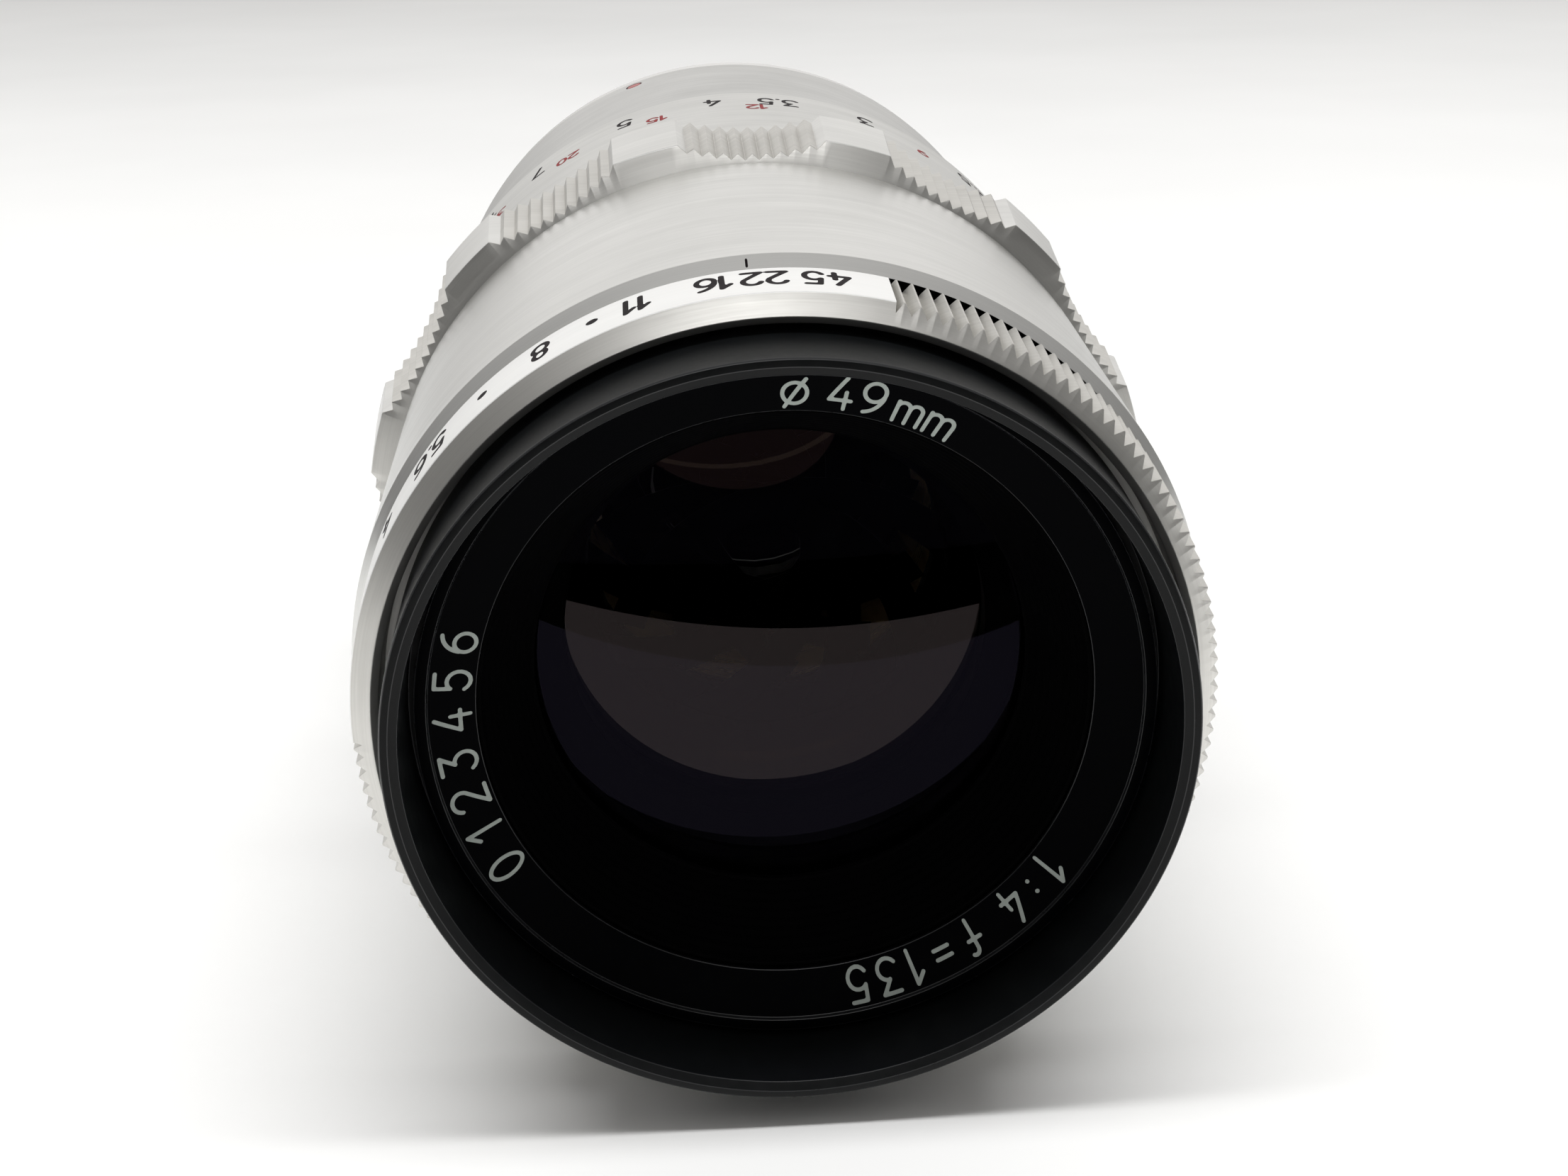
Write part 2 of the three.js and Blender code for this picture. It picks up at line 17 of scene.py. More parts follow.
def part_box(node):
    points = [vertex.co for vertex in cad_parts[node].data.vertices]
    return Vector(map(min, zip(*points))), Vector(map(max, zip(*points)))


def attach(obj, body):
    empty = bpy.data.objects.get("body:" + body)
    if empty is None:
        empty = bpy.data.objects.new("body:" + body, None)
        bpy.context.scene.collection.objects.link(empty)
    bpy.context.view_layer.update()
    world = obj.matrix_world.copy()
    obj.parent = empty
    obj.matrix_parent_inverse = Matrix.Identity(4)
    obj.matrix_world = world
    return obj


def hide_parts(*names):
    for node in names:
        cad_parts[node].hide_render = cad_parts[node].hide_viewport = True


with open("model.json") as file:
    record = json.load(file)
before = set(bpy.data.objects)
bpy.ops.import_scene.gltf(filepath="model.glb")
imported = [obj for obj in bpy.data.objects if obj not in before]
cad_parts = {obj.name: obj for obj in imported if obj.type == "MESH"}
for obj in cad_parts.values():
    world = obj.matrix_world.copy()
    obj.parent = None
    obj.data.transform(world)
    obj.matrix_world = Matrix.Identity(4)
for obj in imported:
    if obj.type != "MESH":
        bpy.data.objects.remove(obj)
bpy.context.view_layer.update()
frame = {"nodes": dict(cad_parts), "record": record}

# ---------- dimensions, in millimetres ----------

MM = 0.001
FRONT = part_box("filter_ring")[0].y / MM
AXIS = (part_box("front_barrel")[0].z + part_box("front_barrel")[1].z) / 2 / MM

BAND_FRONT_R = 27.85  # number band of the aperture ring, front and rear edge
BAND_REAR_R = 28.0
BAND_FRONT = 5.8
BAND_REAR = 10.8
CONE_FRONT_R = 26.5
CONE_FRONT = 5.0
VALLEY_R = 27.25
KNURL_PITCH = 2.1  # degrees
NUMBER_SECTOR = (-91.4, 14.3)  # smooth part of the aperture ring

BARREL_R = 28.5
BARREL_SHOULDER = 12.5  # station where the barrel's full width starts
BARREL_REAR = 38.9
LAND_FRONT_R = 30.3
LAND_REAR_R = 30.8
GRIP_DROP = 30.31  # from the axis to the line under two neighbouring lands
GRIP_FRONT = 39.1
GRIP_REAR = 46.8
GRIP_FACE_R = 28.4  # where the grip's front face starts
GRIP_LEAN = 0.5  # how far that face leans back
FLUTES = 12
FLUTE_SPAN = 20.6
FLUTE_TEETH = 10
FLUTE_FLOOR_R = 28.66
FLUTE_EDGE_R = 29.85
TOOTH_HEIGHT = 0.43

SLEEVE_R = 28.7
SLEEVE_FRONT = 46.95
SLEEVE_REAR = 66.0
REAR_R = 27.3
MOUNT_R = 27.1
FLANGE = 91.0
THROAT_R = 22.0
LENGTH = 96.0
SERVICE_ANGLES = (50, 170, 290)
KEY_ANGLES = (90, 270)
INFINITY_ANGLE = -74.8  # the focusing index
PIVOT_R = 18.2
BLADES = 10

# ---------- mesh helpers ----------

SHARP = math.radians(32)
EDGE_REACH = 0.075  # how near to a turned edge its own finish goes


def spots(r, station, angle):
    """Points in the row frame, in metres."""
    r, station, angle = np.broadcast_arrays(r, station, np.radians(angle))
    return np.stack([r * np.sin(angle), FRONT + station, AXIS + r * np.cos(angle)], axis=-1) * MM


def eased(outline, radius=0.12, steps=3, closed=True):
    """The outline with each corner rounded; every corner gives steps + 1 points."""
    points = np.array(outline, float)
    made = []
    for k, corner in enumerate(points):
        if not closed and k in (0, len(points) - 1):
            made.append(corner)
            continue
        before = points[k - 1] - corner
        after = points[(k + 1) % len(points)] - corner
        reach = min(radius, 0.4 * np.linalg.norm(before), 0.4 * np.linalg.norm(after))
        start = corner + before / np.linalg.norm(before) * reach
        end = corner + after / np.linalg.norm(after) * reach
        for t in np.linspace(0, 1, steps + 1):
            made.append((1 - t) ** 2 * start + 2 * t * (1 - t) * corner + t ** 2 * end)
    return np.array(made)


def woven(outlines, angles):
    """Points and faces of a ring whose closed outline may change from angle to angle."""
    outlines = np.asarray(outlines, float)
    columns, count = outlines.shape[:2]
    points = spots(outlines[..., 0], outlines[..., 1], np.asarray(angles, float)[:, None])
    faces = []
    for i in range(columns):
        here, there = i * count, (i + 1) % columns * count
        for j in range(count):
            k = (j + 1) % count
            faces.append((here + j, here + k, there + k, there + j))
    return points.reshape(-1, 3), faces


def spun(outline, facets=192):
    """Points and faces of a closed outline turned about the axis."""
    outline = np.asarray(outline, float)
    return woven(np.repeat(outline[None], facets, axis=0), np.arange(facets) * 360 / facets)


def turned(outline, facets=96, centre=(0.0, 0.0)):
    """A solid whose outline starts and ends on its own axis, which is at centre across the lens."""
    outline = np.asarray(outline, float)
    ring = outline[1:-1]
    count = len(ring)
    angles = np.arange(facets) * 360 / facets
    middle = spots(ring[None, :, 0], ring[None, :, 1], angles[:, None]).reshape(-1, 3)
    poles = spots(0, outline[[0, -1], 1], 0)
    points = np.concatenate([middle, poles])
    points += np.array([centre[0], 0, centre[1]]) * MM
    faces = []
    for i in range(facets):
        here, there = i * count, (i + 1) % facets * count
        faces.append((facets * count, there, here))
        faces.append((facets * count + 1, here + count - 1, there + count - 1))
        for j in range(count - 1):
            faces.append((here + j, there + j, there + j + 1, here + j + 1))
    return points, faces


def merged(*parts):
    """Several (points, faces) as one."""
    points, faces, start = [], [], 0
    for some_points, some_faces in parts:
        points.append(np.asarray(some_points, float))
        faces += [tuple(start + k for k in face) for face in some_faces]
        start += len(some_points)
    return np.concatenate(points), faces


def linked(name, data):
    """An object in the scene."""
    made = bpy.data.objects.new(name, data)
    bpy.context.scene.collection.objects.link(made)
    return made


def closed_mesh(name, shape):
    """A mesh whose faces all look outward."""
    points, faces = shape
    mesh = bpy.data.meshes.new(name)
    mesh.from_pydata([tuple(p) for p in points], [], faces)
    shaped = bmesh.new()
    shaped.from_mesh(mesh)
    bmesh.ops.recalc_face_normals(shaped, faces=shaped.faces)
    shaped.to_mesh(mesh)
    shaped.free()
    return mesh


def crease(mesh):
    """Marks the edges where the shading breaks."""
    shaped = bmesh.new()
    shaped.from_mesh(mesh)
    for edge in shaped.edges:
        if len(edge.link_faces) == 2 and edge.calc_face_angle(0) > SHARP:
            edge.smooth = False
    shaped.to_mesh(mesh)
    shaped.free()


def weigh(target):
    """Makes large faces lead the shading."""
    normals = target.modifiers.new("Normals", "WEIGHTED_NORMAL")
    normals.keep_sharp = True


def piece(name, shape, material, body, nodes=(), weighted=True):
    """A mesh object that rides on a CAD body and may stand for CAD nodes."""
    mesh = closed_mesh(name, shape)
    mesh.polygons.foreach_set("use_smooth", [True] * len(mesh.polygons))
    crease(mesh)
    made = linked(name, mesh)
    mesh.materials.append(material)
    if weighted:
        weigh(made)
    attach(made, body)
    if nodes:
        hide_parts(*nodes)
    return made


def refinish(target, material, chosen):
    """Gives a second finish to the faces that chosen picks by radius, station, angle and normal."""
    target.data.materials.append(material)
    for face in target.data.polygons:
        middle = face.center / MM
        r = math.hypot(middle.x, middle.z - AXIS)
        angle = math.degrees(math.atan2(middle.x, middle.z - AXIS))
        if chosen(r, middle.y - FRONT, angle, face.normal.y):
            face.material_index = 1


def turned_edges(*radii):
    """Picks the slanting faces of the eased edges at some radii, for refinish."""
    def chosen(r, station, angle, along):
        return 0.12 < abs(along) < 0.985 and min(abs(r - edge) for edge in radii) < EDGE_REACH
    return chosen


def carve(target, cutter_shape):
    """Cuts a closed shape out of a piece, and applies the cut."""
    cutter = linked("cutter", closed_mesh("cutter", cutter_shape))
    cut = target.modifiers.new("Cut", "BOOLEAN")
    cut.operation = "DIFFERENCE"
    cut.solver = "EXACT"
    cut.object = cutter
    for modifier in [m for m in target.modifiers if m.type == "WEIGHTED_NORMAL"]:
        target.modifiers.remove(modifier)
    bpy.context.view_layer.update()
    result = bpy.data.meshes.new_from_object(
        target.evaluated_get(bpy.context.evaluated_depsgraph_get()))
    target.modifiers.clear()
    target.data = result
    bpy.data.objects.remove(cutter)
    crease(result)
    weigh(target)


def bearings(angle):
    """Unit vectors away from the axis and across it, at an angle."""
    a = math.radians(angle)
    return np.array([math.sin(a), 0, math.cos(a)]), np.array([math.cos(a), 0, -math.sin(a)])


def rod(radius, low, high, station, angle, facets=32, ease=0.0):
    """A rod that points away from the axis, between two radii."""
    outline = [[0, low], [radius, low], [radius, high], [0, high]]
    if ease:
        outline = eased(outline, ease, 3, closed=False)
    outline = np.asarray(outline, float)
    ring = outline[1:-1]
    turn = np.arange(facets) * 2 * math.pi / facets
    across = ring[None, :, 0] * np.cos(turn)[:, None]
    along = ring[None, :, 0] * np.sin(turn)[:, None]
    out = np.broadcast_to(ring[None, :, 1], across.shape)
    local = np.stack([across, along, out], axis=-1).reshape(-1, 3)
    poles = np.array([[0, 0, outline[0, 1]], [0, 0, outline[-1, 1]]])
    local = np.concatenate([local, poles])
    count = len(ring)
    faces = []
    for i in range(facets):
        here, there = i * count, (i + 1) % facets * count
        faces.append((facets * count, here, there))
        faces.append((facets * count + 1, there + count - 1, here + count - 1))
        for j in range(count - 1):
            faces.append((here + j, here + j + 1, there + j + 1, there + j))
    outward, sideways = bearings(angle)
    points = (local[:, :1] * sideways + local[:, 2:] * outward
              + np.array([0, 1, 0]) * (local[:, 1:2] + FRONT + station) + np.array([0, 0, AXIS]))
    return points * MM, faces


def brick(width, low, high, front, rear, angle):
    """A block at an angle: width across, between two radii and two stations."""
    outward, sideways = bearings(angle)
    points = []
    for station in (front, rear):
        for r in (low, high):
            for side in (-width / 2, width / 2):
                points.append(side * sideways + r * outward + np.array([0, FRONT + station, AXIS]))
    faces = [(0, 1, 3, 2), (4, 6, 7, 5), (0, 4, 5, 1), (2, 3, 7, 6), (0, 2, 6, 4), (1, 5, 7, 3)]
    return np.array(points) * MM, faces


# ---------- materials ----------

GLASS_INDEX = 1.62


def node(tree, kind, inputs=None, **settings):
    """A shader node. An input is a value, or the socket it is linked to."""
    made = tree.nodes.new(kind)
    for key, value in settings.items():
        setattr(made, key, value)
    for key, value in (inputs or {}).items():
        if isinstance(value, bpy.types.NodeSocket):
            tree.links.new(value, made.inputs[key])
        else:
            made.inputs[key].default_value = value
    return made


def blank(name):
    """A material with a Principled shader; returns the material, its tree and the shader."""
    material = bpy.data.materials.new(name)
    material.use_nodes = True
    tree = material.node_tree
    tree.nodes.clear()
    shader = node(tree, "ShaderNodeBsdfPrincipled")
    output = node(tree, "ShaderNodeOutputMaterial")
    tree.links.new(shader.outputs["BSDF"], output.inputs["Surface"])
    return material, tree, shader


def math_node(tree, operation, *values):
    return node(tree, "ShaderNodeMath", dict(enumerate(values)), operation=operation).outputs[0]


def noise(tree, vector, scale, detail, rough=0.5):
    made = node(tree, "ShaderNodeTexNoise",
                {"Vector": vector, "Scale": scale, "Detail": detail, "Roughness": rough})
    return made.outputs["Fac"]


def spread(tree, value, low, high, from_low=0.3, from_high=0.7):
    """Stretches a range of a value to another. The range of noise is the one to start from."""
    made = node(tree, "ShaderNodeMapRange", {
        "Value": value, "From Min": from_low, "From Max": from_high, "To Min": low, "To Max": high})
    return made.outputs["Result"]


def tinted(tree, value, dark, light):
    """Goes from one colour to another. A colour is a socket or three numbers."""
    made = node(tree, "ShaderNodeMix", data_type="RGBA")
    tree.links.new(value, made.inputs["Factor"])
    for end, colour in zip([s for s in made.inputs if s.type == "RGBA"], (dark, light)):
        if isinstance(colour, bpy.types.NodeSocket):
            tree.links.new(colour, end)
        else:
            end.default_value = (*colour, 1)
    return [s for s in made.outputs if s.type == "RGBA"][0]


def centred(tree):
    """Object coordinates measured from the optical axis."""
    place = node(tree, "ShaderNodeTexCoord").outputs["Object"]
    return node(tree, "ShaderNodeVectorMath", {0: place, 1: (0, 0, AXIS * MM)},
                operation="SUBTRACT").outputs[0]


def lathe_marks(tree, around, across):
    """Coordinates that change slowly round the axis and fast along it and away from it."""
    parts = node(tree, "ShaderNodeSeparateXYZ", {0: centred(tree)})
    flat = node(tree, "ShaderNodeCombineXYZ",
                {"X": parts.outputs["X"], "Z": parts.outputs["Z"]}).outputs[0]
    radius = node(tree, "ShaderNodeVectorMath", {0: flat}, operation="LENGTH").outputs["Value"]
    turn = node(tree, "ShaderNodeSeparateXYZ", {
        0: node(tree, "ShaderNodeVectorMath", {0: flat}, operation="NORMALIZE").outputs[0]})
    depth = math_node(tree, "ADD", parts.outputs["Y"], radius)
    return node(tree, "ShaderNodeCombineXYZ", {
        "X": math_node(tree, "MULTIPLY", turn.outputs["X"], around),
        "Y": math_node(tree, "MULTIPLY", depth, across),
        "Z": math_node(tree, "MULTIPLY", turn.outputs["Z"], around)}).outputs[0]


def turned_metal(name, colour, roughness, streak=0.5, metallic=1.0, darker=0.86):
    """Metal finished on a lathe: fine marks round the axis, faint patches and a stretched gloss."""
    material, tree, shader = blank(name)
    fine = noise(tree, lathe_marks(tree, 1.6, 5200), 1.0, 2.0, 0.65)
    wide = noise(tree, lathe_marks(tree, 2.5, 700), 1.0, 3.0, 0.6)
    patches = noise(tree, centred(tree), 90.0, 4.0, 0.6)
    mixed = math_node(tree, "ADD", math_node(tree, "MULTIPLY", fine, 0.5),
                      math_node(tree, "MULTIPLY", wide, 0.5))
    blend = math_node(tree, "ADD", math_node(tree, "MULTIPLY", mixed, 0.7),
                      math_node(tree, "MULTIPLY", patches, 0.3))
    shader.inputs["Metallic"].default_value = metallic
    tree.links.new(tinted(tree, spread(tree, blend, 0, 1), [c * darker for c in colour], colour),
                   shader.inputs["Base Color"])
    tree.links.new(spread(tree, blend, roughness + 0.08, roughness - 0.08),
                   shader.inputs["Roughness"])
    relief = node(tree, "ShaderNodeBump", {"Height": mixed, "Strength": 0.25, "Distance": 2e-5})
    tree.links.new(relief.outputs[0], shader.inputs["Normal"])
    shader.inputs["Anisotropic"].default_value = streak
    shader.inputs["Anisotropic Rotation"].default_value = 0.25
    round_axis = node(tree, "ShaderNodeTangent", direction_type="RADIAL", axis="Y")
    tree.links.new(round_axis.outputs[0], shader.inputs["Tangent"])
    return material


def coating(name, colour, roughness, lift=1.6, specular=0.5, turned_bump=False):
    """Paint, anodising or plating: fine grain, faint patches, slightly uneven gloss."""
    material, tree, shader = blank(name)
    place = centred(tree)
    grain = noise(tree, place, 900.0, 3.0, 0.6)
    patches = noise(tree, place, 70.0, 3.0, 0.55)
    blend = math_node(tree, "ADD", math_node(tree, "MULTIPLY", grain, 0.5),
                      math_node(tree, "MULTIPLY", patches, 0.5))
    shader.inputs["Specular IOR Level"].default_value = specular
    lighter = [min(1, c * lift) for c in colour]
    tree.links.new(tinted(tree, spread(tree, blend, 0, 1), colour, lighter),
                   shader.inputs["Base Color"])
    tree.links.new(spread(tree, blend, roughness - 0.06, roughness + 0.08),
                   shader.inputs["Roughness"])
    height = noise(tree, lathe_marks(tree, 1.5, 4200), 1.0, 2.0, 0.6) if turned_bump else grain
    relief = node(tree, "ShaderNodeBump", {"Height": height, "Strength": 0.2, "Distance": 1.5e-5})
    tree.links.new(relief.outputs[0], shader.inputs["Normal"])
    return material


def coated_glass(name, coating_tint, coat_index=None):
    """Optical glass whose coatings leave a tinted trace of a reflection, with a faint haze."""
    material, tree, shader = blank(name)
    haze = noise(tree, centred(tree), 120.0, 3.0, 0.6)
    tree.links.new(tinted(tree, spread(tree, haze, 0, 1), (0.965, 0.96, 0.97), (0.99, 0.985, 0.99)),
                   shader.inputs["Base Color"])
    shader.inputs["Roughness"].default_value = 0.0
    shader.inputs["Transmission Weight"].default_value = 1.0
    shader.inputs["IOR"].default_value = GLASS_INDEX
    shader.inputs["Specular Tint"].default_value = (*coating_tint, 1)
    if coat_index:
        shader.inputs["Coat Weight"].default_value = 1.0
        shader.inputs["Coat Roughness"].default_value = 0.0
        shader.inputs["Coat IOR"].default_value = coat_index
    return material


satin = turned_metal("satin_aluminium", (0.80, 0.80, 0.785), 0.34, streak=0.45)
# rear_aluminium is the satin aluminium made darker: painted shade on the rear barrel.
rear_satin = turned_metal("rear_aluminium", (0.63, 0.63, 0.62), 0.38, streak=0.3)
scale_satin = turned_metal("scale_aluminium", (0.75, 0.75, 0.735), 0.42, streak=0.3)
band_metal = turned_metal("number_band", (0.93, 0.93, 0.92), 0.5, streak=0.2, metallic=0.6,
                          darker=0.94)
knurl_metal = turned_metal("knurled_aluminium", (0.72, 0.71, 0.68), 0.4, streak=0.3, darker=0.8)
chrome = turned_metal("mount_chrome", (0.76, 0.76, 0.75), 0.2, streak=0.5, darker=0.93)
brass = turned_metal("brass", (0.72, 0.53, 0.26), 0.3)
steel = turned_metal("steel", (0.56, 0.56, 0.57), 0.3, streak=0.2)
anodised = coating("black_anodised", (0.003, 0.0034, 0.0037), 0.38, specular=0.18, turned_bump=True)
name_black = coating("name_ring_black", (0.0006, 0.0007, 0.0011), 0.42, specular=0.02)
edge_black = coating("edge_black", (0.008, 0.0085, 0.0095), 0.28, specular=0.5)
flat_black = coating("flat_black", (0.0004, 0.0004, 0.0005), 0.7, specular=0.025)
blade_steel = coating("blued_steel", (0.0012, 0.0013, 0.0016), 0.45, specular=0.06)
enamel = coating("red_enamel", (0.26, 0.03, 0.03), 0.3, lift=1.2)
black_paint = coating("black_paint", (0.006, 0.004, 0.005), 0.6, specular=0.1)
red_paint = coating("red_paint", (0.20, 0.03, 0.032), 0.6, lift=1.2, specular=0.1)
pale_paint = coating("pale_paint", (0.40, 0.44, 0.41), 0.6, lift=1.2, specular=0.2)
violet_glass = coated_glass("violet_glass", (0.66, 0.60, 1.0))
amber_glass = coated_glass("amber_glass", (1.0, 0.35, 0.45), coat_index=2.2)
clear_glass = coated_glass("clear_glass", (0.001, 0.001, 0.001))

BY_SLOT = {
    "satin_aluminium": satin,
    "number_band": band_metal,
    "scale_aluminium": scale_satin,
    "knurled_aluminium": knurl_metal,
    "black_anodised": anodised,
    "name_ring_black": name_black,
    "flat_black": flat_black,
    "coated_glass": clear_glass,
    "brass": brass,
    "steel": steel,
    "mount_chrome": chrome,
    "blued_steel": blade_steel,
    "red_enamel": enamel,
}
for part in frame["record"]["subparts"]:
    mesh = frame["nodes"][part["node"]].data
    mesh.materials.clear()
    mesh.materials.append(BY_SLOT[part["material_slot"]])
# The drive tube shows through the slots beside the iris, so its brass gets a near-black colour:
# painted shade inside the lens.
drive_tube_painted_shade = coating("brass_painted_shade", (0.0012, 0.001, 0.0008), 0.6, specular=0.03)
frame["nodes"]["aperture_drive_tube"].data.materials[0] = drive_tube_painted_shade

# ---------- numbers ----------


def arc(x, y, rx, ry, start, end, steps=14):
    turn = np.radians(np.linspace(start, end, steps + 1))
    return [(x + rx * math.cos(t), y + ry * math.sin(t)) for t in turn]


# Each glyph is its width and its strokes, for a height of 1.
GLYPHS = {
    "0": (0.50, [arc(0.25, 0.5, 0.25, 0.5, 0, 360, 24)]),
    "1": (0.24, [[(0.0, 0.72), (0.24, 1.0), (0.24, 0.0)]]),
    "2": (0.52, [arc(0.26, 0.72, 0.26, 0.28, 165, -35) + [(0.0, 0.0), (0.52, 0.0)]]),
    "3": (0.52, [[(0.04, 1.0), (0.50, 1.0), (0.24, 0.60)] + arc(0.24, 0.31, 0.28, 0.31, 88, -150)]),
    "4": (0.56, [[(0.36, 1.0), (0.0, 0.28), (0.56, 0.28)], [(0.41, 0.55), (0.41, 0.0)]]),
    "5": (0.52, [[(0.48, 1.0), (0.10, 1.0), (0.06, 0.55)]
                 + arc(0.25, 0.33, 0.27, 0.33, 130, -150)]),
    "6": (0.52, [arc(0.26, 0.30, 0.26, 0.30, 0, 360, 24), arc(0.52, 0.34, 0.52, 0.64, 100, 172)]),
    "7": (0.50, [[(0.0, 1.0), (0.50, 1.0), (0.18, 0.0)]]),
    "8": (0.50, [arc(0.25, 0.76, 0.21, 0.24, 0, 360, 24), arc(0.25, 0.27, 0.25, 0.27, 0, 360, 24)]),
    "9": (0.52, [arc(0.26, 0.70, 0.26, 0.30, 0, 360, 24), arc(0.0, 0.66, 0.52, 0.64, -80, -8)]),
    ".": (0.02, [[(0.0, 0.02), (0.02, 0.02)]]),
    ":": (0.02, [[(0.0, 0.28), (0.02, 0.28)], [(0.0, 0.66), (0.02, 0.66)]]),
    "=": (0.44, [[(0.0, 0.34), (0.44, 0.34)], [(0.0, 0.62), (0.44, 0.62)]]),
    "f": (0.42, [arc(0.36, 0.80, 0.14, 0.20, 60, 180, 8) + [(0.16, 0.0)],
                 [(0.0, 0.58), (0.38, 0.58)]]),
    "m": (0.66, [[(0.0, 0.64), (0.0, 0.0)],
                 arc(0.165, 0.46, 0.165, 0.18, 180, 0, 10) + [(0.33, 0.0)],
                 arc(0.495, 0.46, 0.165, 0.18, 180, 0, 10) + [(0.66, 0.0)]]),
    "o": (0.62, [arc(0.31, 0.42, 0.31, 0.34, 0, 360, 24), [(0.06, -0.02), (0.56, 0.88)]]),
    "8 lying": (0.86, [arc(0.215, 0.45, 0.215, 0.22, 0, 360, 24),
                       arc(0.645, 0.45, 0.215, 0.22, 0, 360, 24)]),
    "dot": (0.0, [[(-0.02, 0.5), (0.02, 0.5)]]),
    "|": (0.0, [[(0.0, 0.0), (0.0, 1.0)]]),
}
GLYPH_GAP = 0.2


def strokes_of(text, height, stretch=1.0):
    """The strokes of a text centred on the origin. A list of glyph names is also a text."""
    widths = [GLYPHS[c][0] for c in text]
    total = sum(widths) + GLYPH_GAP * (len(text) - 1)
    left, strokes = -total / 2, []
    for character, width in zip(text, widths):
        for stroke in GLYPHS[character][1]:
            strokes.append([((left + x) * height * stretch, (y - 0.5) * height) for x, y in stroke])
        left += width + GLYPH_GAP
    return strokes


def inked(strokes, weight):
    """The flat shape of strokes with round ends: points, faces and border edges.

    It marches over a grid of squares, and cuts those that the border crosses.
    """
    ends = np.array([[*a, *b] for stroke in strokes for a, b in zip(stroke, stroke[1:])])
    a, b = ends[:, :2], ends[:, 2:]
    grid = weight / 3.6
    low = np.minimum(a, b).min(0) - weight
    high = np.maximum(a, b).max(0) + weight
    xs = np.arange(low[0], high[0] + grid, grid)
    ys = np.arange(low[1], high[1] + grid, grid)
    at = np.stack(np.meshgrid(xs, ys, indexing="ij"), axis=-1)[:, :, None]
    along = b - a
    share = ((at - a) * along).sum(-1) / np.maximum((along ** 2).sum(-1), 1e-12)
    nearest = a + np.clip(share, 0, 1)[..., None] * along
    field = np.linalg.norm(at - nearest, axis=-1).min(-1) - weight / 2
    field[np.abs(field) < 1e-6 * weight] = 1e-6 * weight
    points, known, faces, border = [], {}, [], []

    def corner(i, j):
        if (i, j) not in known:
            known[i, j] = len(points)
            points.append((xs[i], ys[j]))
        return known[i, j]

    def crossing(p, q):
        key = (min(p, q), max(p, q))
        if key not in known:
            (i, j), (k, m) = key
            t = field[i, j] / (field[i, j] - field[k, m])
            known[key] = len(points)
            points.append((xs[i] + t * (xs[k] - xs[i]), ys[j] + t * (ys[m] - ys[j])))
        return known[key]

    for i in range(len(xs) - 1):
        for j in range(len(ys) - 1):
            square = [(i, j), (i + 1, j), (i + 1, j + 1), (i, j + 1)]
            inside = [field[p] < 0 for p in square]
            if not any(inside):
                continue
            face, cut = [], []
            for k in range(4):
                p, q = square[k], square[(k + 1) % 4]
                if inside[k]:
                    face.append(corner(*p))
                if inside[k] != inside[(k + 1) % 4]:
                    face.append(crossing(p, q))
                    cut.append((len(face) - 1, inside[k]))
            faces.append(tuple(face))
            for place, leaving in cut:
                if leaving:
                    border.append((face[place], face[(place + 1) % len(face)]))
    return np.array(points), faces, border


def lettering(name, marks, weight, mapping, material, body):
    """Numbers as thin closed inlays. Each mark is its text, height, stretch and mapping values."""
    parts = []
    for text, height, stretch, *where in marks:
        flat, faces, border = inked(strokes_of(text, height, stretch), weight)
        top = mapping(flat[:, 0], flat[:, 1], 0.012, *where)
        bottom = mapping(flat[:, 0], flat[:, 1], -0.06, *where)
        count = len(flat)
        closed = [tuple(f) for f in faces] + [tuple(count + k for k in reversed(f)) for f in faces]
        closed += [(b, a, a + count, b + count) for a, b in border]
        parts.append((np.concatenate([top, bottom]), closed))
    return piece(name, merged(*parts), material, body, weighted=False)


def drum(radius_at):
    """Numbers on a drum, read from the rear of the lens: their tops point to the front."""
    def mapping(u, v, proud, station, angle):
        stations = station - v
        r = radius_at(stations)
        return spots(r + proud, stations, angle - np.degrees(u / r))
    return mapping


def dial(station_at, radius, reach=0.0):
    """Numbers on a face, read from the front, with their tops away from the axis."""
    def mapping(u, v, proud, angle):
        r = radius + v
        return spots(r, station_at(r) - proud, angle + np.degrees(u / radius))
    return mapping


# ---------- filter ring, name ring and front baffle ----------

RIM_FACETS = 256
filter_ring = piece("filter_ring_fine", spun(eased([
    [24.35, 0.3], [24.95, 0.0], [25.4, 0.0], [25.5, 0.12], [25.5, 8.5], [21.8, 8.5], [21.8, 7.4],
    [24.35, 7.4]], 0.05), RIM_FACETS), anodised, "lens_head", ["filter_ring"])
refinish(filter_ring, edge_black, turned_edges(24.95, 24.35, 25.42))

NAME_INNER_R = 20.0
NAME_LIP_R = 23.0
NAME_OUTER_R = 23.85
NAME_INNER = 7.0
NAME_DISH = 5.75
NAME_FRONT = 5.5
NAME_REAR = 7.2
NAME_LINE_R = 21.5  # through the middle of the digits


def name_station(r):
    """The station of the name ring's dished face at a radius."""
    return NAME_INNER + (r - NAME_INNER_R) / (NAME_LIP_R - NAME_INNER_R) * (NAME_DISH - NAME_INNER)


name_ring = piece("name_ring_fine", spun(eased([
    [NAME_INNER_R, NAME_INNER], [NAME_LIP_R, NAME_DISH], [23.08, NAME_FRONT],
    [NAME_OUTER_R, NAME_FRONT], [NAME_OUTER_R, NAME_REAR], [NAME_INNER_R, NAME_REAR]], 0.06),
    RIM_FACETS), name_black, "lens_head", ["name_ring"])
refinish(name_ring, edge_black, turned_edges(NAME_INNER_R, 23.04, NAME_OUTER_R))

